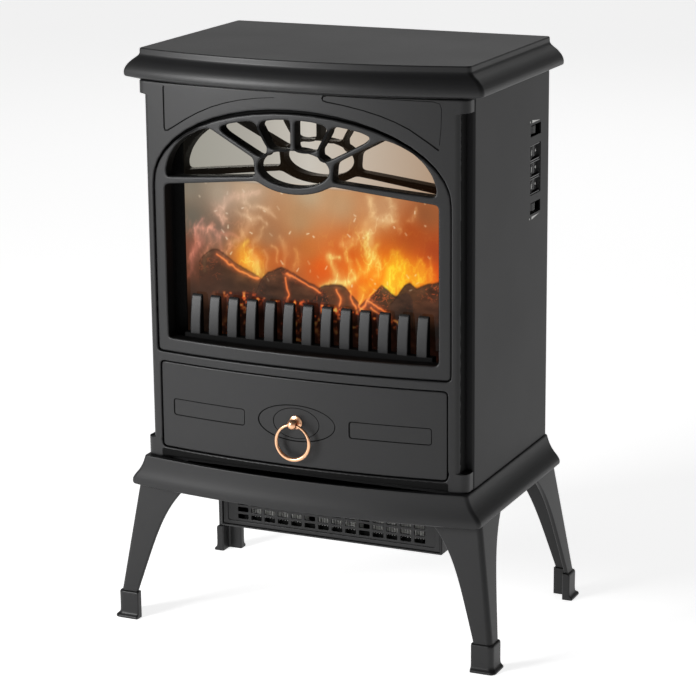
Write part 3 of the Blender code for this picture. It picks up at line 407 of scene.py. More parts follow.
def combined(mesh, tool, operation="DIFFERENCE"):
    """Cuts or joins two meshes."""
    pair = []
    for data in (mesh, tool):
        thing = bpy.data.objects.new("boolean", data)
        bpy.context.scene.collection.objects.link(thing)
        pair.append(thing)
    step = pair[0].modifiers.new("boolean", "BOOLEAN")
    step.operation = operation
    step.solver = "EXACT"
    step.object = pair[1]
    graph = bpy.context.evaluated_depsgraph_get()
    made = bpy.data.meshes.new_from_object(pair[0].evaluated_get(graph))
    for thing in pair:
        data = thing.data
        bpy.data.objects.remove(thing)
        bpy.data.meshes.remove(data)
    return made


def rounded(points, radii, steps=8):
    """A closed outline whose corners are arcs. A radius of 0 keeps a corner."""
    made = []
    count = len(points)
    for i, radius in enumerate(radii):
        here = Vector(points[i])
        before = Vector(points[i - 1]) - here
        after = Vector(points[(i + 1) % count]) - here
        if radius <= 0:
            made.append(tuple(here))
            continue
        bend = before.angle(after)
        reach = min(radius / math.tan(bend / 2), 0.48 * before.length, 0.48 * after.length)
        radius = reach * math.tan(bend / 2)
        out = (before.normalized() + after.normalized()).normalized()
        middle = here + out * (radius / math.sin(bend / 2))
        first = here + before.normalized() * reach - middle
        last = here + after.normalized() * reach - middle
        sweep = first.angle_signed(last)
        for k in range(steps + 1):
            made.append(tuple(middle + Matrix.Rotation(-sweep * k / steps, 2) @ first))
    return made


def rectangle(left, right, low, high, radius=0.0, steps=6):
    return rounded([(left, low), (right, low), (right, high), (left, high)], [radius] * 4, steps)


def ellipse(half, rise, centre, start=0.0, end=math.tau, steps=48):
    angles = [start + (end - start) * i / steps for i in range(steps + (end - start < math.tau))]
    return [(centre[0] + half * math.cos(a), centre[1] + rise * math.sin(a)) for a in angles]


def through(points, steps=4):
    """A smooth curve through points of any dimension."""
    points = [np.array(p, float) for p in points]
    ends = [2 * points[0] - points[1], *points, 2 * points[-1] - points[-2]]
    made = []
    for a, b, c, d in zip(ends, ends[1:], ends[2:], ends[3:]):
        for k in range(steps):
            t = k / steps
            square, cube = 2 * a - 5 * b + 4 * c - d, 3 * b - a - 3 * c + d
            made.append(0.5 * (2 * b + (c - a) * t + square * t**2 + cube * t**3))
    return [*made, points[-1]]


def plate(outline, holes, thickness, edge, rings=2):
    """A flat plate across Y from (x, z) outlines, its front at y = 0, with rounded edges."""
    curve = bpy.data.curves.new("plate", "CURVE")
    curve.dimensions = "2D"
    curve.fill_mode = "BOTH"
    large = 1000  # the curve is filled at a large size, where close points stay apart
    curve.extrude = (thickness / 2 - edge) * large
    curve.bevel_depth = edge * large
    curve.bevel_resolution = rings
    curve.offset = -edge * large
    for points in [outline, *holes]:
        spline = curve.splines.new("POLY")
        spline.points.add(len(points) - 1)
        for spot, (x, z) in zip(spline.points, points):
            spot.co = (x * large, z * large, 0, 1)
        spline.use_cyclic_u = True
    drawn = bpy.data.objects.new("plate", curve)
    bpy.context.scene.collection.objects.link(drawn)
    graph = bpy.context.evaluated_depsgraph_get()
    mesh = bpy.data.meshes.new_from_object(drawn.evaluated_get(graph))
    bpy.data.objects.remove(drawn)
    turn = Matrix.Rotation(math.pi / 2, 4, "X") @ Matrix.Scale(1 / large, 4)
    mesh.transform(Matrix.Translation((0, thickness / 2, 0)) @ turn)
    work = bmesh.new()
    work.from_mesh(mesh)
    bpy.data.meshes.remove(mesh)
    return to_mesh("plate", work)


def sliced(mesh, cuts):
    """Cuts a mesh along planes given as (place, normal), keeping both sides."""
    work = bmesh.new()
    work.from_mesh(mesh)
    for place, normal in cuts:
        geometry = work.verts[:] + work.edges[:] + work.faces[:]
        bmesh.ops.bisect_plane(work, geom=geometry, dist=1e-8, plane_co=place, plane_no=normal)
    bmesh.ops.triangulate(work, faces=work.faces)
    work.to_mesh(mesh)
    work.free()
    return mesh


def bowed(mesh, front, slices=52):
    """Bends a flat plate to the stove's bow; its middle stands at y = front."""
    half = max(abs(v.co.x) for v in mesh.vertices)
    cuts = [((half * (2 * i / slices - 1), 0, 0), (1, 0, 0)) for i in range(1, slices)]
    mesh = sliced(mesh, cuts)
    for vert in mesh.vertices:
        vert.co.y += front + BOW * (vert.co.x / BODY_HALF) ** 2
    return mesh


def on_front(x, proud=0.0):
    """Y of the bowed front at x, moved forwards by `proud`."""
    return FRONT_Y + BOW * (x / BODY_HALF) ** 2 - proud


def softened(loop, reach=2.2 * mm, step=0.8 * mm):
    """Rounds the corners of a faceted outline: it is walked in even steps and averaged."""
    points = np.array([*loop, loop[0]])
    walked = np.concatenate([[0], np.cumsum(np.hypot(*np.diff(points, axis=0).T))])
    count = max(12, int(walked[-1] / step))
    places = np.linspace(0, walked[-1], count, endpoint=False)
    even = np.stack([np.interp(places, walked, points[:, k]) for k in (0, 1)], 1)
    width = int(3 * reach / step)
    weights = np.exp(-0.5 * (np.arange(-width, width + 1) * step / reach) ** 2)
    weights /= weights.sum()
    averaged = sum(w * np.roll(even, k - width, axis=0) for k, w in enumerate(weights))
    smooth = [Vector(p) for p in averaged]
    kept = [smooth[0]]
    heading = smooth[1] - smooth[0]
    least_turn, longest = math.radians(4), 20 * mm  # a point between these is left out
    for here, after in zip(smooth[1:], smooth[2:]):
        turned_by = heading.angle(after - here)
        if turned_by > least_turn or (here - kept[-1]).length > longest:
            kept.append(here)
            heading = after - here
    return [tuple(p) for p in kept]


def front_outlines(node):
    """The (x, z) outlines of a CAD node's front face, the largest first."""
    work = bmesh.new()
    work.from_mesh(frame["nodes"][node].data)
    bmesh.ops.remove_doubles(work, verts=work.verts, dist=1e-6)
    work.normal_update()
    facing = {face for face in work.faces if face.normal.y < -0.95}
    rim = {edge for edge in work.edges if sum(face in facing for face in edge.link_faces) == 1}
    loops = []
    while rim:
        edge = rim.pop()
        first, here = edge.verts
        loop = [first, here]
        while here is not first:
            edge = next((e for e in here.link_edges if e in rim), None)
            if edge is None:
                break
            rim.discard(edge)
            here = edge.other_vert(here)
            if here is not first:
                loop.append(here)
        if len(loop) > 2:
            loops.append([(v.co.x, v.co.z) for v in loop])
    work.free()

    def area(loop):
        ends = zip(loop, [*loop[1:], loop[0]])
        return abs(sum(ax * bz - bx * az for (ax, az), (bx, bz) in ends)) / 2

    smallest = 2e-4  # square metres; the facets of rounded edges stay below it
    return sorted([loop for loop in loops if area(loop) > smallest], key=area, reverse=True)


def tube(points, radius, closed=False, sides=10, radii=None):
    """A round tube along points, whose ring of `radii` may differ from point to point."""
    spots = [Vector(p) for p in points]
    count = len(spots)
    rings = []
    aside = None
    for i, spot in enumerate(spots):
        ahead = spots[(i + 1) % count] if closed else spots[min(i + 1, count - 1)]
        behind = spots[i - 1] if closed else spots[max(i - 1, 0)]
        along = (ahead - behind).normalized()
        if aside is None:
            aside = along.orthogonal().normalized()
        aside = (aside - along * aside.dot(along)).normalized()
        over = along.cross(aside)
        size = radii[i] if radii else radius
        turns = [math.tau * k / sides for k in range(sides)]
        rings.append([spot + (aside * math.cos(a) + over * math.sin(a)) * size for a in turns])
    if closed:
        return loft([*rings, rings[0]], capped=False)
    return loft(rings)


def band(path, widths):
    """The outline of a line drawn along (x, z) points, with its width at each end or point."""
    spots = [Vector(p) for p in path]
    across = np.interp(np.linspace(0, 1, len(spots)), np.linspace(0, 1, len(widths)), widths)
    left, right = [], []
    for i, (spot, width) in enumerate(zip(spots, across)):
        along = (spots[min(i + 1, len(spots) - 1)] - spots[max(i - 1, 0)]).normalized()
        aside = Vector((-along.y, along.x)) * width / 2
        left.append(tuple(spot + aside))
        right.append(tuple(spot - aside))
    return [*left, *reversed(right)]


def engraved(mesh, cuts):
    """Cuts grooves into the front of a flat plate, from (outline, holes) in (x, z)."""
    depth = shape_of().groove
    for outline, holes in cuts:
        mesh = combined(mesh, moved(plate(outline, holes, 2 * depth, 0), (0, -depth, 0)))
    return mesh


def in_groove(proud=0.0):
    """Picks the floors and walls of a bowed piece's grooves."""
    deepest = shape_of().groove + 0.05 * mm

    def pick(centre, normal):
        return 0.12 * mm < centre.y - on_front(centre.x, proud) < deepest

    return pick


# -------------------------------------------------------------- geometry nodes
def new_tree(name, *sockets):
    """A node tree that gives out geometry and takes in the (label, kind) sockets."""
    tree = bpy.data.node_groups.new(name, "GeometryNodeTree")
    tree.interface.new_socket("Geometry", in_out="OUTPUT", socket_type="NodeSocketGeometry")
    for label, kind in sockets:
        tree.interface.new_socket(label, in_out="INPUT", socket_type="NodeSocket" + kind)
    return tree, tree.nodes.new("NodeGroupInput")


def stand_on_points(tree, given, points):
    """Puts the given shape on points as real, painted copies; gives back the node that places
    them."""
    nodes, link = tree.nodes, tree.links.new
    shape = nodes.new("GeometryNodeObjectInfo")
    spread = nodes.new("GeometryNodeInstanceOnPoints")
    real = nodes.new("GeometryNodeRealizeInstances")
    paint = nodes.new("GeometryNodeSetMaterial")
    out = nodes.new("NodeGroupOutput")
    link(points, spread.inputs["Points"])
    link(given.outputs["Shape"], shape.inputs["Object"])
    link(shape.outputs["Geometry"], spread.inputs["Instance"])
    link(spread.outputs["Instances"], real.inputs["Geometry"])
    link(real.outputs["Geometry"], paint.inputs["Geometry"])
    link(given.outputs["Finish"], paint.inputs["Material"])
    link(paint.outputs["Geometry"], out.inputs["Geometry"])
    return spread


def repeat_tree(name="repeat_in_rows"):
    """Columns and rows of one shape in the XZ plane, or along X alone."""
    found = bpy.data.node_groups.get(name)
    if found:
        return found
    tree, given = new_tree(
        name, ("Shape", "Object"), ("Columns", "Int"), ("Rows", "Int"), ("Width", "Float"),
        ("Height", "Float"), ("Centre", "Vector"), ("Finish", "Material"),
    )
    link = tree.links.new
    grid = tree.nodes.new("GeometryNodeMeshGrid")
    stand = tree.nodes.new("GeometryNodeTransform")
    stand.inputs["Rotation"].default_value = (math.pi / 2, 0, 0)
    for label, socket in (
        ("Width", "Size X"), ("Height", "Size Y"), ("Columns", "Vertices X"), ("Rows", "Vertices Y"),
    ):
        link(given.outputs[label], grid.inputs[socket])
    link(grid.outputs["Mesh"], stand.inputs["Geometry"])
    link(given.outputs["Centre"], stand.inputs["Translation"])
    stand_on_points(tree, given, stand.outputs["Geometry"])
    return tree


def place_tree(name="repeat_at_places"):
    """One shape, unturned, on every vertex of the object."""
    found = bpy.data.node_groups.get(name)
    if found:
        return found
    tree, given = new_tree(
        name, ("Geometry", "Geometry"), ("Shape", "Object"), ("Size", "Float"), ("Finish", "Material")
    )
    spread = stand_on_points(tree, given, given.outputs["Geometry"])
    tree.links.new(given.outputs["Size"], spread.inputs["Scale"])
    return tree


def grown(tree, points, shape_mesh, **inputs):
    """Runs a node tree on some points and gives back a plain mesh."""
    shape = bpy.data.objects.new("shape", shape_mesh)
    holder_mesh = bpy.data.meshes.new("points")
    holder_mesh.from_pydata(points, [], [])
    holder = bpy.data.objects.new("holder", holder_mesh)
    for thing in (shape, holder):
        bpy.context.scene.collection.objects.link(thing)
    step = holder.modifiers.new("repeat", "NODES")
    step.node_group = tree
    values = {"Shape": shape, **inputs}
    for item in tree.interface.items_tree:
        if item.in_out == "INPUT" and item.name in values:
            step[item.identifier] = values[item.name]
    graph = bpy.context.evaluated_depsgraph_get()
    made = bpy.data.meshes.new_from_object(holder.evaluated_get(graph))
    for thing in (shape, holder):
        bpy.data.objects.remove(thing)
    bpy.data.meshes.remove(holder_mesh)
    return made


# --------------------------------------------------------------- casing shapes
def plan(half, corner_y, bow, back, radius, samples=44, rear_radius=1.5 * mm):
    """The stove's outline from above: straight sides, a bowed front, round front corners."""
    points = [(-half, back), (-half, corner_y)]
    radii = [rear_radius, radius]
    for i in range(1, samples):
        share = 2 * i / samples - 1
        points.append((half * share, corner_y - bow * (1 - share**2)))
        radii.append(0)
    points += [(half, corner_y), (half, back)]
    radii += [radius, rear_radius]
    return rounded(points, radii)


def moulding(profile, inner, outer, back, radius):
    """A lofted moulding. The profile runs through (share from inner to outer, height), and
    inner and outer are (half width, corner y, bow)."""
    rings = []
    for share, z in profile:
        half, corner, bow = (a + (b - a) * share for a, b in zip(inner, outer))
        rings.append([(x, y, z) for x, y in plan(half, corner, bow, back, radius)])
    return loft(rings)


def make_cornice():
    """The moulded top: a lip, an ogee under it and a flat top."""
    low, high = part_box("top_plate")
    under, top = low.z, high.z
    flat = (BODY_HALF - 0.2 * mm, CORNER_Y + 4.5 * mm, 25 * mm)
    lip = (high.x, low.y + 28 * mm, 28 * mm)
    edge = [(share, under + rise * mm) for share, rise in (
        (0.08, 0), (0.9, 2.6), (0.955, 3.1), (0.99, 4.3), (1.0, 6.0), (0.985, 7.6), (0.94, 9.6),
        (0.8, 12.8), (0.55, 16.4), (0.3, 19.0), (0.12, 21.0), (0.035, 22.6),
    )]
    face = [
        (0.02, top - 4.6 * mm), (0.012, top - 1.6 * mm), (0.0, top - 0.8 * mm),
        (-0.03, top - 0.25 * mm), (-0.07, top),
    ]
    profile = [edge[0], *[tuple(p) for p in through(edge[1:], 3)], *face]
    mesh = moulding(profile, flat, lip, BODY_BACK, 7 * mm)
    put("cornice", mesh, "top_plate", casing_paint(), ["top_plate"])


def make_base():
    """The moulded plinth, open below, with a trough along its front."""
    low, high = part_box("base_plate")
    height = high.z - low.z
    rim = (BODY_HALF + 1.5 * mm, CORNER_Y - 5 * mm, 16.5 * mm)
    lip = (BODY_HALF + 14.8 * mm, CORNER_Y - 7 * mm, 17.7 * mm)
    shares = [
        (0.80, 0.0), (0.92, 0.012), (0.98, 0.045), (1.0, 0.1), (0.985, 0.165), (0.93, 0.225), (0.84, 0.29),
        (0.72, 0.36), (0.55, 0.45), (0.38, 0.56), (0.24, 0.68), (0.14, 0.79), (0.075, 0.88), (0.03, 0.945),
        (0.005, 0.98), (-0.05, 1.0),
    ]
    profile = [(share, low.z + rise * height) for share, rise in shares]
    mesh = moulding(profile, rim, lip, BODY_BACK, 9 * mm)
    wall, margin = 4 * mm, 5 * mm
    half, corner, bow = rim
    inner = plan(half - wall, corner + wall, bow, BODY_BACK - wall, 5 * mm)
    levels = (low.z - margin, high.z - wall)
    mesh = combined(mesh, loft([[(x, y, z) for x, y in inner] for z in levels]))
    drawer_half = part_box("drawer_front")[1].x
    front = corner + 3 * mm
    trough = plan(drawer_half, front, bow, front + 9 * mm, 1.2 * mm)
    levels = (high.z - 2 * wall, high.z + margin)
    mesh = combined(mesh, loft([[(x, y, z) for x, y in trough] for z in levels]))
    put("plinth", mesh, "base_plate", casing_paint(), ["base_plate"])


BLOCK_TOP = FRONT_LOW + 17.2 * mm
COLLAR_LOW = FRONT_HIGH - 11.7 * mm
STILE_INSET = 7 * mm
WALL = 7 * mm


def wall_path(half, radius, start):
    """From x = start on the front, round the corner and back along the side, as (point, normal)."""
    bend = [(start, on_front(start)), (half, on_front(half)), (half, FRONT_BACK)]
    points = [Vector(p) for p in rounded(bend, [0, radius, 0], 12)]
    lengths = np.cumsum([0, *[(b - a).length for a, b in zip(points, points[1:])]])

    def at(share):
        share = min(max(share, 0.0), 1.0) * lengths[-1]
        k = min(int(np.searchsorted(lengths, share, side="right")) - 1, len(points) - 2)
        step = points[k + 1] - points[k]
        spot = points[k] + step * ((share - lengths[k]) / step.length)
        before = step if k == 0 else points[k] - points[k - 1]
        after = step if k + 2 >= len(points) else points[k + 2] - points[k + 1]
        blend = (share - lengths[k]) / step.length
        along = (before.normalized() + step.normalized()) * (1 - blend)
        along += (step.normalized() + after.normalized()) * blend
        along.normalize()
        return spot, Vector((along.y, -along.x))

    return at, lengths[-1]


def make_front_frame():
    """The cast front, drawn flat as if unrolled and then wrapped round its corners."""
    edge = shape_of().edge
    mid_half = BODY_HALF - STILE_INSET
    start = mid_half - 10 * mm
    narrow, length = wall_path(mid_half, 8.5 * mm, start)
    wide, _ = wall_path(BODY_HALF, 10 * mm, start)
    reach = start + length
    holes = [softened(loop) for loop in front_outlines("front_frame")[1:3]]
    foot_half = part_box("drawer_front")[1].x + 2.4 * mm
    foot = ellipse(foot_half, 4.5 * mm, (0, FRONT_LOW), math.pi, 0, 24)
    outline = [(-reach, FRONT_LOW), *foot, (reach, FRONT_LOW), (reach, FRONT_HIGH), (-reach, FRONT_HIGH)]
    mesh = engraved(plate(outline, holes, WALL, edge, 3), front_grooves())
    xs = [start * (2 * i / 46 - 1) for i in range(47)]
    xs += [side * (start + length * i / 34) for i in range(1, 34) for side in (-1, 1)]
    shift = 1.2 * mm
    zs = [z + shift * k / 4 for z in (BLOCK_TOP, COLLAR_LOW - shift) for k in range(5)]
    zs += [FRONT_LOW + (FRONT_HIGH - FRONT_LOW) * k / 10 for k in range(1, 10)]
    mesh = sliced(mesh, [((x, 0, 0), (1, 0, 0)) for x in xs] + [((0, 0, z), (0, 0, 1)) for z in zs])
    for vert in mesh.vertices:
        x, depth, z = vert.co
        if abs(x) <= start:
            vert.co.y = on_front(x) + depth
            continue
        side = 1 if x > 0 else -1
        share = (abs(x) - start) / length
        block = min(max((BLOCK_TOP + shift - z) / shift, 0), 1)
        collar = min(max((z - COLLAR_LOW + shift) / shift, 0), 1)
        spread = max(block, collar)
        spread = spread * spread * (3 - 2 * spread)
        (spot_a, out_a), (spot_b, out_b) = narrow(share), wide(share)
        spot = spot_a.lerp(spot_b, spread)
        out = out_a.lerp(out_b, spread).normalized()
        near = min(share * length / (6 * mm), 1)  # eases from straight depth into the wrapped depth
        inward = Vector((0, 1)).lerp(-out, near)
        place = spot + inward * depth
        vert.co = (side * place.x, place.y, z)
    groove = in_groove()

    openings_half, openings_top = 142 * mm, 510 * mm
    foot_top, spandrel_low = FRONT_LOW + 9 * mm, 463 * mm
    wrap_start = CORNER_Y + 1.5 * mm

    # Painted shade: black on the reveals round the openings, on the strip along the foot, on the corner
    # returns between the foot blocks and the collar, and in the floors of the spandrels' engraved lines.
    def dark(centre, normal):
        around = abs(centre.x) < openings_half and centre.z < openings_top
        reveal = around and (normal.y > -0.3 or centre.z < foot_top)
        wrapped = centre.y > wrap_start and BLOCK_TOP < centre.z < COLLAR_LOW
        engraving = groove(centre, normal) and centre.z > spandrel_low and inside_panel(centre)
        return reveal or wrapped or engraving

    put("cast_front", mesh, "front_frame", casing_paint(), ["front_frame"], sharp=34, dark=dark)
    make_backing(holes)


def inside_panel(centre):
    """Whether a spot is near the engraved spandrel lines and not on the arch's own edge."""
    spring, rise, half, widest = 419 * mm, 82 * mm, 150 * mm, 140 * mm
    height = spring + rise * math.sqrt(max(0, 1 - (centre.x / half) ** 2))
    return centre.z > height and abs(centre.x) < widest


def front_grooves():
    """The engraved lines of the two spandrels, heavier at their outer ends."""
    left = [
        (-130, 508.5), (-130.6, 507), (-130.6, 490), (-130.6, 471), (-129.8, 468.6), (-127, 468.8),
        (-118, 474), (-108, 480), (-94, 487.4), (-80, 493.4), (-66, 498), (-52, 501.4), (-34, 504.4),
        (-16, 506.2),
    ]
    right = [
        (134.6, 467.6), (126, 473.6), (109, 484.6), (96, 490.6), (83, 495.2), (68, 499.2), (50, 502.8),
        (34, 505), (30.6, 506), (29.8, 508), (31, 510), (33.4, 510.6),
    ]
    top = [(33, 510.6), (80, 510.2), (130, 509.4), (135.4, 507.8), (137, 503), (136.4, 486), (135, 472)]
    drawn = []
    for line, widths in (
        (left, (1.7, 1.7, 1.5, 1.1, 0.8, 0.5)), (right, (1.6, 1.1, 1.0, 1.4, 1.9)), (top, (0.8, 0.5, 0.4)),
    ):
        drawn.append((band([(x * mm, z * mm) for x, z in line], [w * mm for w in widths]), []))
    return drawn


def make_backing(holes):
    """A black sheet behind the window's edge, which closes the gap round the insert."""
    arch = max(holes, key=lambda loop: max(z for _, z in loop))
    middle_z = (max(z for _, z in arch) + min(z for _, z in arch)) / 2

    def scaled(across, up):
        return [(x * across, middle_z + (z - middle_z) * up) for x, z in arch]

    outer, inner = scaled(1.03, 1.03), scaled(0.965, 0.955)
    gap = 1.3 * mm  # between the front's back and the sheet
    mesh = bowed(plate(outer, [inner], 1 * mm, 0.2 * mm, 1), FRONT_Y + WALL + gap)
    put("window_seal", mesh, "firebox_liner", matte_black_and_painted_shade())


def is_reveal(centre, normal):
    """Faces that look sideways or back, which stay black inside the window."""
    return normal.y > -0.32


def window_openings():
    """The large opening and, above it, a sunburst of six petals and wings round an ellipse."""
    eye_z, ring_half, ring_rise = 443.5, 44, 23
    meets = 0.61  # angle below level at which the ring leaves the bar
    angles = np.linspace(-meets, -math.pi + meets, 24)
    ring = [(ring_half * math.cos(a), eye_z + ring_rise * math.sin(a)) for a in angles]
    half, sill, bar = 133.5, 276, 419
    large = [(-half, sill), (half, sill), (half, bar), *ring, (-half, bar)]
    inner_petal = [
        (2.3, 461), (10, 459.8), (22, 460.4), (26, 466), (33.5, 479), (31, 483.6), (18, 486), (2.3, 486.8),
    ]
    outer_petal = [
        (26.4, 453.8), (33, 452.4), (68, 470.5), (73.5, 475.5), (64, 479.4), (52, 481.8), (41, 483.4),
        (36.4, 481.5), (25, 461),
    ]
    wing = [
        (37.6, 434.6), (131, 426.2), (131.5, 434), (127.5, 445), (120.5, 455), (111, 463.2), (100, 469),
        (91, 472.4), (84, 474), (39, 450.4),
    ]
    made = [softened([(x * mm, z * mm) for x, z in large], 3.0 * mm)]
    made.append(ellipse(34.5 * mm, 16 * mm, (0, eye_z * mm), steps=64))
    for shape in (inner_petal, outer_petal, wing):
        for mirror in (-1, 1):
            made.append(softened([(mirror * x * mm, z * mm) for x, z in shape], 2.6 * mm))
    return made


def make_window_frame():
    """The arched insert, deep enough to show its reveals."""
    loops = [softened(front_outlines("window_frame")[0]), *window_openings()]
    low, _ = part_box("window_frame")
    depth = 14 * mm
    mesh = plate(loops[0], loops[1:], depth, shape_of().grille_edge, 3)
    mesh = bowed(mesh, low.y)
    put(
        "window_frame_cast", mesh, "window_frame", casing_paint(), ["window_frame"], sharp=40, dark=is_reveal
    )


def make_drawer_front():
    """The bowed face with two engraved panels and two ovals round the pull."""
    loops = front_outlines("drawer_front")
    low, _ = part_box("drawer_front")
    thickness = 6 * mm
    mid_z = 211.3 * mm
    proud = FRONT_Y - low.y
    cuts = []
    for left in (-129 * mm, 51 * mm):
        outer = rectangle(left, left + 77 * mm, mid_z - 8 * mm, mid_z + 8 * mm, 2.8 * mm)
        inner = rectangle(left + 1.5 * mm, left + 76.3 * mm, mid_z - 7 * mm, mid_z + 7.2 * mm, 2 * mm)
        cuts.append((outer, [inner]))
    oval = ellipse(38.4 * mm, 17.2 * mm, (0, mid_z + 0.8 * mm), steps=72)
    cuts.append((oval, [ellipse(37.3 * mm, 16.2 * mm, (0.3 * mm, mid_z + 0.9 * mm), steps=72)]))
    oval = ellipse(23 * mm, 14.4 * mm, (0, mid_z + 0.8 * mm), steps=64)
    cuts.append((oval, [ellipse(22.3 * mm, 13.8 * mm, (0.1 * mm, mid_z + 0.8 * mm), steps=64)]))
    mesh = engraved(plate(softened(loops[0], 1.8 * mm), [], thickness, 1.1 * mm, 3), cuts)
    mesh = bowed(mesh, low.y)
    groove = in_groove(proud)

    half, foot, top = 135 * mm, 180 * mm, 246 * mm  # inside the rounded edge

    # Painted shade: black on the sideways and back faces outside the inner face, and in the floors of the
    # grooves.
    def dark(centre, normal):
        inner = abs(centre.x) < half and foot < centre.z < top
        return normal.y > -0.3 and not inner or inner and groove(centre, normal)

    put("drawer_face", mesh, "drawer_front", casing_paint(), ["drawer_front"], sharp=34, dark=dark)


def make_side_panels():
    """Folded steel sides with soft bends; the right one has the control openings."""
    sheet, flange, bend = 1.5 * mm, 12 * mm, 2.2 * mm
    low, high = PANEL_RIGHT
    for side, node in ((-1, "side_panel_left"), (1, "side_panel_right")):
        skin, fold = BODY_HALF, BODY_HALF - sheet
        inner = fold - flange
        profile = [
            (skin, low.y), (skin, high.y), (inner, high.y), (inner, high.y - sheet),
            (fold, high.y - sheet), (fold, low.y + sheet), (inner, low.y + sheet), (inner, low.y),
        ]
        radii = [bend, bend, 0, 0, bend - sheet, bend - sheet, 0, 0]
        outline = [(side * x, y) for x, y in rounded(profile, radii, 6)]
        mesh = loft([[(x, y, z) for x, y in outline] for z in (low.z, high.z)])
        if side > 0:
            for y0, y1, z0, z1 in control_openings():
                mesh = combined(mesh, box((fold - 5 * mm, y0, z0), (skin + 5 * mm, y1, z1), 0.9 * mm))
        put(f"{node}_skin", mesh, node, panel_paint(), [node])


def control_openings():
    """(y low, y high, z low, z high) of the wheel slots and of the switches' opening."""
    switches = [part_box(f"switch_body_{name}") for name in ("flame", "low_heat", "high_heat")]
    y0, y1 = switches[0][0].y - 0.3 * mm, switches[0][1].y + 0.3 * mm
    spans = [(min(b[0].z for b in switches) - 0.15 * mm, max(b[1].z for b in switches) + 0.15 * mm)]
    for wheel in ("thermostat_wheel", "dimmer_wheel"):
        low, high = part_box(wheel)
        spans.append((low.z - 1.6 * mm, high.z + 1.6 * mm))
    return [(y0, y1, z0, z1) for z0, z1 in spans]


def make_rear_cover():
    """The flat back with two banks of vent slots, the hole for the gland and its screws."""
    low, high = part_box("rear_cover")
    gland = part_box("cable_gland")
    centre = ((gland[0].x + gland[1].x) / 2, (gland[0].z + gland[1].z) / 2)
    holes = [ellipse(6.3 * mm, 6.3 * mm, centre, steps=28)]
    for middle in (FRONT_LOW + 69.2 * mm, FRONT_HIGH - 61.7 * mm):
        for row in range(9):
            z = middle + (row - 4) * 8 * mm
            holes.append(rectangle(-45 * mm, 45 * mm, z - 1.7 * mm, z + 1.7 * mm, 1.6 * mm, 4))
    thickness = high.y - low.y
    mesh = plate(rectangle(low.x, high.x, low.z, high.z, 1 * mm, 3), holes, thickness, 0.25 * mm, 1)
    put("rear_sheet", moved(mesh, (0, low.y, 0)), "rear_cover", panel_paint(), ["rear_cover"])
    spots = []
    inset = 7 * mm
    for x in (low.x + inset, high.x - inset):
        spots += [(x, high.y, low.z + inset + (high.z - low.z - 2 * inset) * k / 3) for k in range(4)]
    spots += [(x, high.y, z) for x in (-60 * mm, 60 * mm) for z in (low.z + inset, high.z - inset)]
    mesh = grown(place_tree(), spots, screw_head(), Size=1.0, Finish=zinc_steel())
    put("rear_screws", mesh, "rear_cover", zinc_steel())


def screw_head():
    """A pan head with a cross recess, facing +Y."""
    size = shape_of().screw
    profile = [
        (size, 0.0), (size, 0.25), (size * 0.93, 0.55), (size * 0.72, 0.82), (size * 0.4, 0.96),
        (size * 0.1, 1.0),
    ]
    head = turned(profile, (0, 0, 0), (0, size * 0.6, 0), 20)
    arm, half = size * 0.6, size * 0.12
    for low, high in (((-arm, -half), (arm, half)), ((-half, -arm), (half, arm))):
        head = combined(head, box((low[0], size * 0.3, low[1]), (high[0], size, high[1])))
    return head


def make_legs():
    """Four splayed legs of angle section in flared boots."""
    top_corner, splay = (BODY_HALF + 12 * mm, 97 * mm), (15.5 * mm, 13.5 * mm)
    middle_y = CORNER_Y + 99.5 * mm  # halfway between the front and the rear feet
    stations = 30
    for place, side, end in (
        ("front_left", -1, -1), ("front_right", 1, -1), ("rear_left", -1, 1), ("rear_right", 1, 1),
    ):
        low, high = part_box(f"leg_{place}")

        def section(corner, width, wall, radius, z):
            x, y = corner
            points = [
                (x - width, y), (x, y), (x, y - width),
                (x - wall, y - width), (x - wall, y - wall), (x - width, y - wall),
            ]
            tip = 1.4 * mm
            shape = rounded(points, [tip, radius, tip, tip, 2 * mm, tip], 5)
            return [(side * a, middle_y + end * b, z) for a, b in shape]

        rings = []
        for i in range(stations + 1):
            share = i / stations
            corner = [c + s * (1 - share) for c, s in zip(top_corner, splay)]
            width = (17.5 + 17 * share + 16 * share**5) * mm  # flares just under the plinth
            rings.append(section(corner, width, 4 * mm, 5 * mm, low.z + (high.z - low.z) * share))
        put(f"leg_cast_{place}", loft(rings), f"leg_{place}", casing_paint(), [f"leg_{place}"])

        low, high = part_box(f"foot_cap_{place}")
        foot = [c + s for c, s in zip(top_corner, splay)]
        levels = [
            (0.0, 2.6), (0.4, 3.0), (1.5, 3.0), (2.3, 2.6), (3.0, 1.7), (3.9, 0.8), (5.2, 0.25), (7.5, 0.0),
            (18.0, 0.0), (23.8, 0.05), (25.0, -0.15), (25.7, -0.6), (26.0, -1.1),
        ]
        rings = []
        for rise, grow in levels:
            corner = [c + (2 + grow) * mm for c in foot]
            rings.append(section(corner, (21.1 + grow) * mm, (7.5 + grow) * mm, 5 * mm, low.z + rise * mm))
        put(f"boot_{place}", loft(rings), f"foot_cap_{place}", casing_paint(), [f"foot_cap_{place}"])


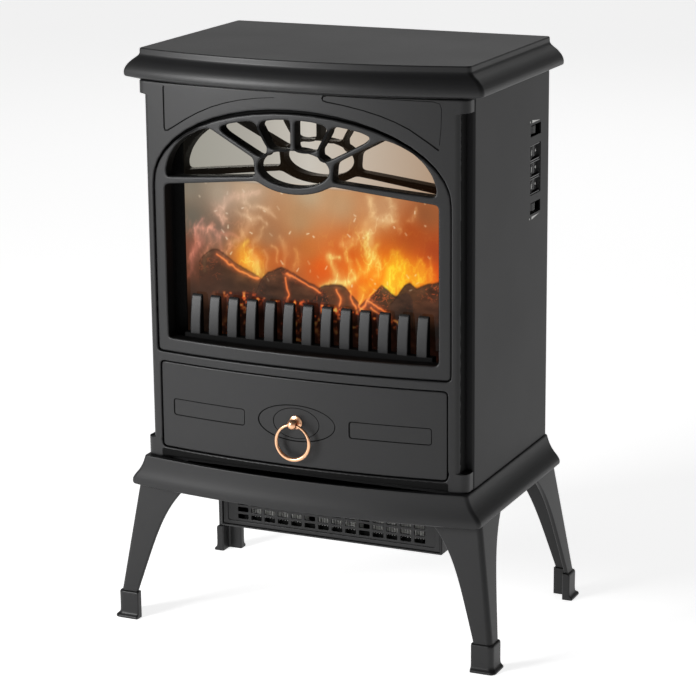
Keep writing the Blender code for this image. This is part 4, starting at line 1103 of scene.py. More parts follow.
# ------------------------------------------------------------------- the grate
def make_grate():
    """A rail and a row of curved fingers with soft edges."""
    low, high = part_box("grate_fingers")
    rail_top = low.z + 12 * mm
    rail = box((low.x, low.y, low.z), (high.x, high.y, rail_top), 1.2 * mm)
    width, count = 10.5 * mm, 13
    foot, tip = rail_top - 3 * mm, high.z
    depth = high.y - low.y
    shares = np.linspace(0, 1, 15)
    front = [(0.2 * mm + 4.6 * mm * share**2.0, foot + (tip - 2.4 * mm - foot) * share) for share in shares]
    crown = [
        (5.7 * mm, tip - 0.7 * mm), (6.9 * mm, tip), (7.8 * mm, tip - 0.4 * mm), (depth, tip - 1.8 * mm),
    ]
    finger = plate([*front, *crown, (depth, foot)], [], width, 1.2 * mm, 3)
    finger.transform(Matrix.Translation((width / 2, 0, 0)) @ Matrix.Rotation(math.pi / 2, 4, "Z"))
    pitch = (high.x - low.x - 22 * mm) / (count - 1)
    row = grown(
        repeat_tree(), [(0, 0, 0)], finger, Columns=count, Rows=1, Width=pitch * (count - 1),
        Height=0.0, Centre=(0, low.y, 0), Finish=casing_paint(),
    )

    # Painted shade: the fingers' sides, backs and undersides are black; their fronts and tops keep the
    # paint.
    def dark(centre, normal):
        return normal.y > -0.6 and normal.z < 0.5

    put("grate", row, "grate_fingers", casing_paint(), ["grate_fingers"], dark=dark)
    put("grate_rail", rail, "grate_fingers", matte_black_and_painted_shade())


# ------------------------------------------------------------ the flame picture
class Canvas:
    """A picture painted on a grid of points; x runs across from the middle and z up, in mm."""

    def __init__(self, xs, zs, seed):
        self.x, self.z = np.meshgrid(xs, zs)
        self.random = np.random.default_rng(seed)
        self.colour = np.zeros((*self.x.shape, 3))

    def noise(self, scale, octaves=4, stretch=1.0):
        """Smooth noise from 0 to 1, with its largest features `scale` mm wide."""
        cells, beyond = 259, 400  # the lattice's cells, and a shift that keeps places positive
        total, weight = np.zeros_like(self.x), 0.0
        for k in range(octaves):
            size = scale / 2**k
            lattice = self.random.random((cells + 1, cells + 1))
            u = (self.x + beyond) / size
            v = (self.z + beyond) / (size * stretch)
            iu, iv = np.floor(u).astype(int), np.floor(v).astype(int)
            fu, fv = u - iu, v - iv
            fu, fv = fu * fu * (3 - 2 * fu), fv * fv * (3 - 2 * fv)
            iu, iv = iu % cells, iv % cells
            low = lattice[iv, iu] * (1 - fu) + lattice[iv, iu + 1] * fu
            high = lattice[iv + 1, iu] * (1 - fu) + lattice[iv + 1, iu + 1] * fu
            total += (low * (1 - fv) + high * fv) / 2**k
            weight += 1 / 2**k
        return total / weight

    def wash(self, spots, sharpness=2.6):
        """A soft background through colours given at places."""
        total = np.zeros_like(self.x)
        mixed = np.zeros_like(self.colour)
        for x, z, colour in spots:
            near = 1 / (((self.x - x) ** 2 + (self.z - z) ** 2 + 60) ** (sharpness / 2))
            total += near
            mixed += near[..., None] * np.array(colour)
        self.colour = mixed / total[..., None]

    def glow(self, amount, colour):
        """Adds light: bright where amount is 1, never past white."""
        amount = np.clip(amount, 0, 1)[..., None]
        self.colour = 1 - (1 - self.colour) * (1 - amount * np.array(colour))

    def lay(self, amount, colour):
        """Covers with a colour, or with a picture of the same size."""
        amount = np.clip(amount, 0, 1)[..., None]
        self.colour = self.colour * (1 - amount) + np.asarray(colour) * amount

    def stroke(self, points, widths, shift=(0, 0)):
        """How close each point is to a smooth tapering line: 1 on it, falling to 0."""
        line = through([(x, z, w) for (x, z), w in zip(points, widths)], 8)
        best = np.zeros_like(self.x)
        px, pz = self.x + shift[0], self.z + shift[1]
        for (ax, az, aw), (bx, bz, bw) in zip(line, line[1:]):
            run = (bx - ax) ** 2 + (bz - az) ** 2 + 1e-9
            share = np.clip(((px - ax) * (bx - ax) + (pz - az) * (bz - az)) / run, 0, 1)
            away = (px - ax - share * (bx - ax)) ** 2 + (pz - az - share * (bz - az)) ** 2
            width = np.maximum(aw + (bw - aw) * share, 0.25)
            best = np.maximum(best, np.exp(-away / width**2))
        return best


def tint(code):
    """A colour from 0 to 255 in each channel, as shares."""
    return tuple(channel / 255 for channel in code)


FLAME_WASH = (  # x and z in mm, and the colour there
    (-120, 415, (140, 132, 118)), (-118, 385, (122, 116, 104)), (-122, 355, (140, 92, 74)),
    (-90, 410, (172, 158, 140)), (-60, 415, (196, 172, 146)), (-95, 375, (128, 110, 96)),
    (0, 415, (194, 172, 142)), (-10, 390, (192, 154, 114)), (-40, 375, (178, 134, 98)),
    (30, 408, (196, 160, 122)), (70, 412, (196, 150, 110)), (115, 405, (160, 102, 64)),
    (100, 385, (186, 92, 40)), (122, 372, (176, 82, 42)), (0, 365, (202, 126, 66)),
    (-30, 352, (206, 110, 52)), (-62, 352, (214, 108, 40)), (10, 348, (226, 104, 34)),
    (40, 365, (214, 104, 38)), (60, 350, (246, 122, 18)), (85, 352, (248, 124, 16)),
    (108, 352, (226, 98, 26)), (122, 350, (206, 72, 26)), (-105, 330, (104, 62, 42)),
    (-118, 312, (60, 42, 32)), (-85, 325, (106, 78, 60)), (-60, 320, (96, 68, 52)),
    (0, 480, (214, 208, 198)), (-110, 450, (176, 173, 165)), (-60, 470, (190, 184, 174)),
    (110, 450, (206, 190, 172)), (60, 470, (214, 204, 190)),
)
FLAME_STROKES = (  # colour, strength, line, widths
    ((255, 140, 110), 0.55,
     ((-86, 384), (-88, 395), (-82, 403), (-74, 408), (-62, 411), (-48, 414)),
     (1.5, 3.2, 3.6, 3, 2.2, 1.5)),
    ((255, 150, 112), 0.5,
     ((-80, 386), (-86, 392), (-84, 398)), (1.2, 3.5, 2.0)),
    ((255, 176, 128), 0.5,
     ((-66, 404), (-58, 399), (-50, 402), (-42, 397), (-36, 391)), (1.4, 1.8, 1.4, 1.8, 1.0)),
    ((255, 182, 132), 0.42,
     ((-70, 392), (-60, 388), (-52, 390), (-44, 384)), (1.2, 2.4, 1.4, 1.0)),
    ((255, 158, 108), 0.5,
     ((-78, 366), (-70, 370), (-64, 380), (-62, 390), (-66, 398)), (1.6, 2.2, 2.6, 2.2, 1.0)),
    ((255, 170, 110), 0.42,
     ((-56, 348), (-58, 362), (-54, 374), (-48, 382)), (1.4, 1.4, 1.2, 0.8)),
    ((255, 106, 92), 0.5,
     ((-122, 330), (-118, 350), (-110, 362), (-114, 374), (-106, 386)), (1.4, 2.2, 2.2, 1.6, 1.0)),
    ((255, 112, 88), 0.55,
     ((-112, 378), (-104, 374), (-98, 376), (-92, 368)), (1.2, 2.2, 1.6, 1.0)),
    ((255, 110, 80), 0.55,
     ((-104, 352), (-100, 362), (-104, 372), (-98, 382)), (1.4, 1.8, 1.6, 1.0)),
    ((255, 104, 78), 0.5,
     ((-96, 346), (-90, 356), (-94, 368), (-84, 374), (-74, 370)), (1.4, 1.8, 1.8, 1.4, 1.0)),
    ((255, 120, 86), 0.45,
     ((-86, 350), (-82, 360), (-86, 372)), (1.2, 1.6, 0.8)),
    ((255, 96, 70), 0.4,
     ((-124, 344), (-116, 356), (-112, 370), (-116, 380)), (1.2, 1.6, 1.4, 0.8)),
    ((235, 190, 110), 0.5,
     ((-106, 336), (-104, 346), (-100, 352)), (1.2, 1.6, 1.0)),
    ((255, 168, 40), 0.85,
     ((-52, 338), (-60, 343), (-66, 350), (-68, 360), (-64, 366)), (3.0, 6.0, 6.0, 4.0, 1.6)),
    ((255, 214, 92), 0.75,
     ((-54, 342), (-60, 349), (-60, 358)), (1.4, 2.4, 1.2)),
    ((255, 150, 90), 0.45,
     ((-46, 344), (-44, 352), (-48, 360)), (1.2, 1.2, 0.8)),
    ((255, 160, 96), 0.45,
     ((-24, 348), (-22, 358), (-26, 368), (-30, 374)), (1.4, 1.6, 1.4, 0.8)),
    ((255, 150, 86), 0.4,
     ((-34, 350), (-32, 360), (-38, 366)), (1.2, 1.4, 0.8)),
    ((255, 146, 74), 0.42,
     ((-14, 346), (-12, 354), (-14, 364)), (1.2, 1.4, 0.8)),
    ((255, 176, 104), 0.62,
     ((30, 372), (44, 378), (56, 388), (60, 402), (58, 416)), (2.0, 3.4, 4.0, 3.2, 2.0)),
    ((255, 196, 124), 0.5,
     ((58, 374), (62, 386), (72, 394), (80, 404), (76, 418)), (1.6, 2.2, 3.0, 2.6, 1.4)),
    ((255, 188, 118), 0.42,
     ((64, 398), (72, 396), (82, 398), (86, 388)), (1.2, 2.0, 1.8, 1.0)),
    ((255, 176, 110), 0.35,
     ((94, 398), (100, 402), (104, 410)), (1.2, 2.0, 1.0)),
    ((255, 214, 96), 0.85,
     ((54, 352), (58, 362), (54, 372), (58, 384)), (2.2, 3.2, 2.8, 1.4)),
    ((255, 196, 84), 0.7,
     ((62, 346), (66, 356), (62, 368), (66, 376)), (1.6, 2.2, 2.0, 1.0)),
    ((255, 188, 90), 0.65,
     ((36, 340), (38, 352), (34, 364), (44, 374)), (1.8, 2.2, 2.0, 1.2)),
    ((255, 224, 120), 0.9,
     ((22, 336), (24, 344), (20, 352), (18, 360), (26, 361)), (2.0, 2.2, 1.6, 1.6, 1.0)),
    ((255, 220, 110), 0.9,
     ((12, 333), (22, 336), (34, 336), (42, 341), (40, 347)), (1.4, 2.2, 2.4, 1.8, 0.8)),
    ((255, 200, 84), 0.6,
     ((46, 344), (48, 352), (46, 360)), (1.4, 1.8, 0.8)),
    ((255, 176, 30), 0.9,
     ((82, 336), (84, 348), (86, 360), (84, 368)), (7.0, 7.0, 4.4, 1.6)),
    ((255, 190, 44), 0.8,
     ((74, 338), (78, 350), (74, 362)), (4.0, 4.0, 1.4)),
    ((255, 160, 26), 0.8,
     ((92, 340), (94, 352), (92, 362)), (4.0, 3.6, 1.4)),
    ((255, 140, 24), 0.8,
     ((104, 344), (106, 354), (104, 366)), (4.0, 3.4, 1.2)),
    ((255, 140, 40), 0.6,
     ((116, 346), (116, 356), (119, 366)), (3.4, 2.6, 1.0)),
    ((255, 120, 30), 0.7,
     ((48, 322), (52, 332), (60, 340)), (2.4, 3.0, 3.0)),
)
LOG_RIDGES = (  # how dark, the ridge from left to right; each log fills what is below it
    (0.62,
     ((-112, 344), (-106, 352), (-98, 357), (-90, 356), (-76, 347), (-60, 339), (-46, 331), (-38, 318))),
    (0.84,
     ((-62, 308), (-54, 322), (-48, 334), (-40, 341), (-30, 345), (-22, 344), (-8, 337), (6, 331),
      (14, 326), (22, 312))),
    (0.80,
     ((-22, 300), (-6, 312), (4, 320), (10, 331), (18, 334), (30, 334.5), (37, 330), (46, 321), (54, 308))),
    (0.90,
     ((46, 314), (54, 323), (62, 330), (69, 337), (74, 336), (80, 331), (86, 330), (94, 333), (100, 326))),
    (0.90,
     ((78, 322), (86, 332), (92, 340), (97, 342.5), (103, 338), (110, 342), (118, 344.5), (134, 346))),
)
EMBER_LINES = (
    ((-94, 352), (-74, 341), (-52, 333)), ((-24, 341), (-6, 333), (10, 326)),
    ((-24, 337), (-23, 324), (-24, 308)), ((52, 328), (48, 318), (54, 310)),
    ((62, 331), (55, 322), (50, 312)), ((38, 330), (42, 320), (46, 314)),
    ((56, 322), (66, 318), (76, 313)), ((58, 316), (68, 312), (80, 307)),
    ((26, 330), (30, 322), (28, 314)),
)


def paint_fire(canvas, sparks):
    """Smoke, flames, logs, embers and sparks, from the back to the front."""
    x, z = canvas.x, canvas.z
    canvas.wash([(px, pz, tint(colour)) for px, pz, colour in FLAME_WASH])
    smoke = canvas.noise(46, 5, 1.4)
    canvas.colour = canvas.colour**1.18 * (1 + 0.22 * (smoke - 0.5))[..., None]
    heat = np.exp(-(((x - 78) / 46) ** 2) - ((z - 348) / 15) ** 2) * (0.6 + 0.8 * canvas.noise(12, 3, 2.0))
    canvas.lay(heat * 0.75, tint((255, 112, 8)))
    heat = np.exp(-(((x + 60) / 14) ** 2) - ((z - 348) / 10) ** 2)
    canvas.lay(heat * 0.7, tint((255, 104, 16)))
    below = np.clip((424 - z) / 6, 0, 1)  # flames stop at the foot of the sunburst
    bend = ((canvas.noise(13, 4, 1.6) - 0.5) * 13, (canvas.noise(13, 4, 1.6) - 0.5) * 9)
    ridge = np.exp(-(((canvas.noise(6.5, 4, 2.0) - 0.5) / 0.05) ** 2))
    flicker = (0.35 + 0.5 * canvas.noise(9, 3, 2.4)) * (0.75 + 0.45 * ridge)
    for colour, strength, line, widths in FLAME_STROKES:
        near = canvas.stroke(line, [w * 1.35 for w in widths], bend)
        veil = canvas.stroke(line, [w * 3.0 for w in widths], bend)
        canvas.glow((near * 0.85 + veil * 0.5) * strength * flicker * below, tint(colour))
    threads = np.abs(canvas.noise(13, 4, 2.2) - 0.5)
    threads = np.exp(-((threads / 0.016) ** 2)) * canvas.noise(30, 2)
    left = np.exp(-(((x + 92) / 38) ** 2) - ((z - 362) / 22) ** 2)
    right = np.exp(-(((x - 62) / 44) ** 2) - ((z - 364) / 24) ** 2)
    canvas.glow(threads * left * below * 0.8, tint((255, 92, 66)))
    canvas.glow(threads * right * below * 0.7, tint((255, 170, 50)))

    bark = canvas.noise(11, 4, 0.5)
    crag = (canvas.noise(7, 3) - 0.5) * 3.0
    cells = np.abs(canvas.noise(4.6, 3, 0.8) - 0.5)
    cracks = np.exp(-((cells / 0.03) ** 2))
    for dark, ridge in LOG_RIDGES:
        line = np.array(through(ridge, 6))
        top = np.interp(x, line[:, 0], line[:, 1], left=200, right=200)
        inside = np.clip((top + crag - z) / 1.0, 0, 1) * dark
        depth = np.clip((top - z) / 26, 0, 1)
        wood = np.array(tint((92, 62, 46))) * (0.42 + 0.75 * bark)[..., None]
        wood = wood * (1 - 0.35 * depth)[..., None]
        canvas.lay(inside, wood)
        rim = np.exp(-(((z - top - crag + 0.4) / 1.0) ** 2)) * dark
        canvas.lay(rim * 0.55, tint((34, 20, 14)))
        lit = cracks * inside * np.clip(canvas.noise(18, 2) * 2.4 - 1.1, 0, 1)
        canvas.glow(lit * 0.65, tint((255, 74, 26)))
    wobble = ((canvas.noise(7, 2) - 0.5) * 4, (canvas.noise(7, 2) - 0.5) * 4)
    for line in EMBER_LINES:
        canvas.glow(canvas.stroke(line, [0.9] * len(line), wobble), tint((255, 92, 34)))
        canvas.glow(canvas.stroke(line, [3.0] * len(line), wobble) * 0.4, tint((190, 50, 16)))

    bed = 317 - 0.05 * (x + 30) - 12 * np.clip((x - 70) / 60, 0, 1) + (canvas.noise(20, 2) - 0.5) * 9
    coals = np.clip((bed - z) / 3.5, 0, 1) * np.clip((x + 104) / 18, 0, 1)
    grit = canvas.noise(3.4, 2)
    patches = np.clip(canvas.noise(22, 2) * 2.6 - 0.75, 0, 1)
    canvas.lay(coals * 0.72, np.array(tint((70, 26, 16))) * (0.5 + grit)[..., None])
    canvas.glow(coals * np.clip((grit - 0.54) * 7, 0, 1) * patches, tint((255, 78, 24)))
    canvas.glow(coals * np.clip((grit - 0.70) * 9, 0, 1) * patches, tint((255, 180, 70)))

    gloom = np.clip((316 - z) / 16, 0, 1)
    canvas.colour *= (1 - 0.72 * gloom)[..., None]
    haze = np.exp(-(((x + 104) / 26) ** 2) - ((z - 318) / 22) ** 2)
    canvas.lay(haze * 0.45, tint((84, 56, 42)))
    for _ in range(sparks):
        px, pz = canvas.random.uniform(-118, 122), canvas.random.uniform(330, 418)
        run, rise = canvas.random.uniform(-2.4, 2.4), canvas.random.uniform(0.4, 3.0)
        dot = canvas.stroke(((px, pz), (px + run, pz + rise)), (0.7, 0.45))
        canvas.glow(dot * canvas.random.uniform(0.25, 0.85), tint((255, 214, 170)))


SMOKE_TOP, SMOKE_FADE = 420, 4  # where the picture gives way to the glass behind the sunburst, in mm
MIRROR_LEAST = 0.004  # what the glass mirrors over the flames


def mirror_share(canvas):
    """What the glass mirrors: a soft tint behind the sunburst, hardly anything over the flames."""
    rise = np.clip((canvas.z - SMOKE_TOP) / SMOKE_FADE, 0, 1)
    share = (rise * rise * (3 - 2 * rise))[..., None]
    places = (-130, -60, 0, 50, 130)
    colours = (
        (0.36, 0.35, 0.30), (0.44, 0.42, 0.37), (0.64, 0.60, 0.53), (0.60, 0.50, 0.40), (0.46, 0.31, 0.20),
    )
    tone = np.stack([np.interp(canvas.x, places, [c[k] for c in colours]) for k in range(3)], -1)
    return MIRROR_LEAST + tone * share


def picture_finish():
    """A backlit print under glass, read from the picture painted on the screen's points."""
    made, shader, tree = surface("flame_picture")
    if shader is None:
        return made
    shader.inputs["Metallic"].default_value = 1.0
    shader.inputs["Roughness"].default_value = 0.03
    shader.inputs["Emission Strength"].default_value = bpy.context.scene.stove_flames.glow
    link = tree.links.new
    fire = add_node(tree, "ShaderNodeAttribute", attribute_name="fire")
    mirror = add_node(tree, "ShaderNodeAttribute", attribute_name="mirror")
    where = add_node(tree, "ShaderNodeTexCoord")
    grain = add_node(tree, "ShaderNodeTexNoise", Scale=900.0, Detail=2.0)
    link(where.outputs["Object"], grain.inputs["Vector"])
    soft = add_node(tree, "ShaderNodeMapRange", To_Min=0.92, To_Max=1.08)
    link(grain.outputs["Fac"], soft.inputs["Value"])
    tone = add_node(tree, "ShaderNodeMix", data_type="RGBA", blend_type="MULTIPLY")
    tone.inputs["Factor"].default_value = 1.0
    first, second, mixed = tone.inputs[6], tone.inputs[7], tone.outputs[2]  # the colour sockets
    link(fire.outputs["Color"], first)
    link(soft.outputs["Result"], second)
    link(mixed, shader.inputs["Emission Color"])
    link(mirror.outputs["Color"], shader.inputs["Base Color"])
    return made


def make_flame_screen():
    """The glass with its picture, on a grid fine enough to hold it."""
    settings = bpy.context.scene.stove_flames
    low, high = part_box("flame_screen")
    across = np.linspace(low.x, high.x, 341)
    split = FRONT_HIGH - 84 * mm
    up = np.concatenate([np.linspace(low.z, split, 232)[:-1], np.linspace(split, high.z, 26)])
    canvas = Canvas(across * 1000, up * 1000, settings.seed)
    paint_fire(canvas, settings.sparks)
    columns, rows = len(across), len(up)
    mesh = bpy.data.meshes.new("flame_screen")
    points = [(x, low.y, z) for z in up for x in across]
    faces = []
    for j in range(rows - 1):
        for i in range(columns - 1):
            k = j * columns + i
            faces.append((k, k + 1, k + columns + 1, k + columns))
    rim = [*range(columns)]
    rim += [j * columns + columns - 1 for j in range(1, rows)]
    rim += [(rows - 1) * columns + i for i in range(columns - 2, -1, -1)]
    rim += [j * columns for j in range(rows - 2, 0, -1)]
    back = {k: len(points) + n for n, k in enumerate(rim)}
    points += [(points[k][0], high.y, points[k][2]) for k in rim]
    for a, b in zip(rim, [*rim[1:], rim[0]]):
        faces.append((b, a, back[a], back[b]))
    faces.append([back[k] for k in rim])  # the glass's back
    mesh.from_pydata(points, [], faces)
    count = len(points)
    fire = np.zeros((count, 4), np.float32)
    share = np.clip(canvas.colour.reshape(-1, 3), 0, 1)
    fire[: rows * columns, :3] = np.where(share <= 0.04045, share / 12.92, ((share + 0.055) / 1.055) ** 2.4)
    dim = 1 - 0.985 * np.clip((canvas.z - SMOKE_TOP) / SMOKE_FADE, 0, 1)
    fire[: rows * columns, :3] *= dim.reshape(-1, 1)
    fire[:, 3] = 1
    mirror = np.ones((count, 4), np.float32) * MIRROR_LEAST
    mirror[: rows * columns, :3] = mirror_share(canvas).reshape(-1, 3)
    mirror[:, 3] = 1
    for name, values in (("fire", fire), ("mirror", mirror)):
        mesh.attributes.new(name, "FLOAT_COLOR", "POINT").data.foreach_set("color", values.ravel())
    work = bmesh.new()
    work.from_mesh(mesh)
    bmesh.ops.recalc_face_normals(work, faces=work.faces)
    work.to_mesh(mesh)
    work.free()
    put("flame_glass", mesh, "flame_screen", picture_finish(), ["flame_screen"], sharp=30)


# ------------------------------------------------------------ drawer pull
def make_pull():
    """A tapered ring that hangs in the eye of a ball post."""
    low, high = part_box("ring_pull")
    thin, thick = 1.15 * mm, 1.9 * mm
    radius = (high.z - low.z - thin - thick) / 2
    y = (low.y + high.y) / 2
    centre_z = high.z - thin - radius
    spots, radii = [], []
    for i in range(96):
        angle = math.tau * i / 96
        spots.append((radius * math.sin(angle), y, centre_z + radius * math.cos(angle)))
        radii.append(thin + (thick - thin) * (1 - math.cos(angle)) / 2)
    put("pull_ring_wire", tube(spots, thin, True, 20, radii), "ring_pull", rose_brass(), ["ring_pull"])

    low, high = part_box("ring_post")
    ball_radius = 4.7 * mm
    ball_z = (low.z + high.z) / 2
    work = bmesh.new()
    bmesh.ops.create_uvsphere(work, u_segments=48, v_segments=32, radius=ball_radius)
    turn = Matrix.Translation((0, y, ball_z)) @ Matrix.Rotation(math.pi / 2, 4, "X")
    bmesh.ops.transform(work, matrix=turn, verts=work.verts)
    ball = to_mesh("ball", work)
    profile = [(2.6 * mm, 0), (2.0 * mm, 0.12), (2.0 * mm, 0.98), (1.6 * mm, 1.0)]
    stem = turned(profile, (0, y + 3.6 * mm, ball_z), (0, high.y, ball_z), 28)
    post = combined(ball, stem, "UNION")
    profile = [(2.9 * mm, 0), (2.5 * mm, 0.2), (2.5 * mm, 0.8), (2.9 * mm, 1)]
    eye = turned(profile, (-6 * mm, y, ball_z), (6 * mm, y, ball_z), 32)
    put("pull_post", combined(post, eye), "ring_post", rose_brass(), ["ring_post"])

    low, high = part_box("ring_rosette")
    middle = (0, high.y, (low.z + high.z) / 2)
    crown = (0, low.y, (low.z + high.z) / 2)
    wide = (high.x - low.x) / 2
    profile = [
        (wide, 0.0), (wide, 0.2), (wide * 0.94, 0.45), (wide * 0.8, 0.55), (wide * 0.72, 0.8),
        (wide * 0.6, 0.95), (wide * 0.42, 1.0),
    ]
    disc = turned(profile, middle, crown, 40)
    ends = (0, low.y - 2 * mm, ball_z), (0, high.y + 2 * mm, ball_z)
    bore = turned([(2.3 * mm, 0), (2.3 * mm, 1)], *ends, 28)
    put("pull_rosette", combined(disc, bore), "ring_rosette", rose_brass(), ["ring_rosette"])


# ------------------------------------------------------------------ the heater
def make_heater():
    """The case under the plinth, its slotted outlet and the finned element behind it."""
    low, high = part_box("heater_housing")
    wall, margin = 2 * mm, 6 * mm
    shell = box(low, high, 1.6 * mm)
    room = box((low.x + wall, low.y - margin, low.z + wall), (high.x - wall, high.y - wall, high.z - wall))
    shell = combined(shell, room)
    duct_half, duct_front, duct_back = 70 * mm, low.y + 15 * mm, low.y + 50 * mm
    duct = box((-duct_half, duct_front, high.z - margin), (duct_half, duct_back, high.z + margin))
    shell = combined(shell, duct)
    put("heater_case", shell, "heater_housing", casing_paint(), ["heater_housing"])

    inner_low, inner_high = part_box("heater_grille")
    columns, rows = 14, 5
    width, height = 10.8 * mm, 4.6 * mm
    pitch = (2 * (high.x - 17.5 * mm) - width) / (columns - 1)
    slots = []
    for row in range(rows):
        z = low.z + 8.5 * mm + row * 7 * mm
        for column in range(columns):
            x = (column - (columns - 1) / 2) * pitch
            slots.append(rectangle(x - width / 2, x + width / 2, z, z + height, 1.1 * mm, 3))
    depth = inner_high.y - inner_low.y
    outer = rectangle(inner_low.x, inner_high.x, inner_low.z, inner_high.z, 1 * mm, 3)
    face = moved(plate(outer, slots, depth - 1 * mm, 0.45 * mm, 1), (0, inner_low.y + 1 * mm, 0))
    inset = 5 * mm
    window = rectangle(
        inner_low.x + inset, inner_high.x - inset,
        inner_low.z + inset - 1 * mm, inner_high.z - inset, 2 * mm, 4,
    )
    rim = moved(plate(outer, [window], 2 * mm, 0.7 * mm, 2), (0, inner_low.y, 0))
    put("heater_outlet", merged(face, rim), "heater_grille", casing_paint(), ["heater_grille"])

    low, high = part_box("heating_element")
    bar_height = 3.5 * mm
    bars = []
    for z in (low.z, high.z - bar_height):
        bars.append(box((low.x, low.y, z), (high.x, high.y, z + bar_height), 0.5 * mm))
    fin_half = 0.35 * mm
    foot = (-fin_half, 0, -(high.z - low.z) / 2 + bar_height)
    tip = (fin_half, high.y - low.y - 1 * mm, (high.z - low.z) / 2 - bar_height)
    fin = box(foot, tip, 0.12 * mm, 1)
    fins = []
    sections = ((1, 4), (6, 8), (10, 13))  # first and last column of slots that each bank fills
    middle_z = (low.z + high.z) / 2
    for first, last in sections:
        left = (first - (columns - 1) / 2) * pitch - width / 2 - 1 * mm
        right = min((last - (columns - 1) / 2) * pitch + width / 2 + 1 * mm, high.x)
        count = int((right - left) / shape_of().fin_pitch) + 1
        centre = ((left + right) / 2, low.y + 0.5 * mm, middle_z)
        bank = grown(
            repeat_tree(), [(0, 0, 0)], fin.copy(), Columns=count, Rows=1, Width=right - left, Height=0.0,
            Centre=centre, Finish=fin_aluminium(),
        )
        fins.append(bank)
    put("element_frame", merged(*bars), "heating_element", matte_black_and_painted_shade(), ["heating_element"])
    put("element_fins", merged(*fins), "heating_element", fin_aluminium())


# -------------------------------------------------------------------- controls
def make_controls():
    """Three rockers in their bodies and the two thumbwheels."""
    for name in ("flame", "low_heat", "high_heat"):
        low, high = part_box(f"switch_body_{name}")
        block = box(low, high, 0.7 * mm)
        wall, depth, margin = 1.2 * mm, 11.4 * mm, 3 * mm
        foot = (high.x - depth, low.y + wall, low.z + wall)
        mouth = (high.x + margin, high.y - wall, high.z - wall)
        case = combined(block, box(foot, mouth, 0.4 * mm))
        node = f"switch_body_{name}"
        put(f"switch_case_{name}", case, node, switch_plastic(), [node])
        make_rocker(name)
    for name in ("thermostat", "dimmer"):
        make_dial(name)


def make_rocker(name):
    """A rocker with a shallow V face, a line at one end and a dot at the other."""
    low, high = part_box(f"rocker_{name}")
    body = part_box(f"switch_body_{name}")
    pivot = Vector((body[1].x - 6 * mm, (body[0].y + body[1].y) / 2, (low.z + high.z) / 2))
    half = (body[1].y - body[0].y) / 2 - 2.1 * mm
    tall = (high.z - low.z) / 2
    crown, dip = 4.6 * mm, 3.4 * mm
    face = [(dip + (crown - dip) * abs(s) ** 1.3, half * s) for s in np.linspace(-1, 1, 17)]
    hub = [
        (-1 * mm, half - 0.6 * mm), (-3.2 * mm, 4 * mm), (-3.2 * mm, -4 * mm), (-1 * mm, -half + 0.6 * mm),
    ]
    key = plate([*face, *hub], [], 2 * tall, 0.6 * mm, 2)
    key.transform(Matrix.Rotation(-math.pi / 2, 4, "X"))
    key.transform(Matrix.Translation((0, 0, tall)))
    tipped = math.radians(7)  # halfway between the rocker's two positions
    turn = Matrix.Translation(pivot) @ Matrix.Rotation(tipped, 4, "Z")
    key.transform(turn)
    put(f"rocker_key_{name}", key, f"rocker_{name}", switch_plastic(), [f"rocker_{name}"])
    proud = 0.12 * mm
    base, y = 4.2 * mm, -half * 0.72
    foot, tip = (base, y - 0.5 * mm, -2.4 * mm), (base + proud + 0.3 * mm, y + 0.5 * mm, 2.4 * mm)
    line = box(foot, tip, 0.1 * mm, 2)
    base, y = 4.1 * mm, half * 0.7
    profile = [(1.3 * mm, 0), (1.3 * mm, 0.7), (1.1 * mm, 1.0)]
    dot = turned(profile, (base, y, 0), (base + proud + 0.3 * mm, y, 0), 24)
    marks = merged(line, dot)
    marks.transform(turn)
    put(f"rocker_marks_{name}", marks, f"rocker_{name}", mark_white())


def make_wedges():
    """Printed ramps and dots over the upper wheel's slot and under the lower one."""
    rise, gap, dot = 2.6 * mm, 2.2 * mm, 0.9 * mm
    openings = control_openings()
    y0, y1 = openings[0][:2]
    for place, base, way in (
        ("upper", max(o[3] for o in openings) + gap, 1),
        ("lower", min(o[2] for o in openings) - gap, -1),
    ):
        start = y0 + 4 * mm
        ramp = plate([(start, base), (y1 - 3 * mm, base), (start, base + way * rise)], [], 0.3 * mm, 0)
        spot = plate(ellipse(dot, dot, (y0 - 1 * mm, base + way * rise / 2), steps=20), [], 0.3 * mm, 0)
        mesh = merged(ramp, spot)
        place_on_side = Matrix.Translation((BODY_HALF + 0.1 * mm, 0, 0))
        mesh.transform(place_on_side @ Matrix.Rotation(math.pi / 2, 4, "Z"))
        put(f"ramp_mark_{place}", mesh, "side_panel_right", mark_white())


def make_dial(name):
    """A knurled thumbwheel."""
    low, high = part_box(f"{name}_wheel")
    centre = Vector(((low.x + high.x) / 2, (low.y + high.y) / 2, low.z))
    radius = (high.x - low.x) / 2
    teeth, depth = 30, 0.7 * mm
    outline = []
    steps = 8  # points along each tooth
    for i in range(teeth * steps):
        wave = (0.5 + 0.5 * math.cos(math.tau * i / steps)) ** 0.7
        angle = math.tau * i / (teeth * steps)
        away = radius - depth * (1 - wave)
        outline.append((away * math.cos(angle), away * math.sin(angle)))
    wheel = plate(outline, [ellipse(2.6 * mm, 2.6 * mm, (0, 0), steps=32)], high.z - low.z, 0.5 * mm, 2)
    wheel.transform(Matrix.Rotation(math.pi / 2, 4, "X"))
    lowest = min(v.co.z for v in wheel.vertices)
    wheel.transform(Matrix.Translation(centre - Vector((0, 0, lowest))))
    put(f"{name}_dial", wheel, f"{name}_wheel", switch_plastic(), [f"{name}_wheel"])


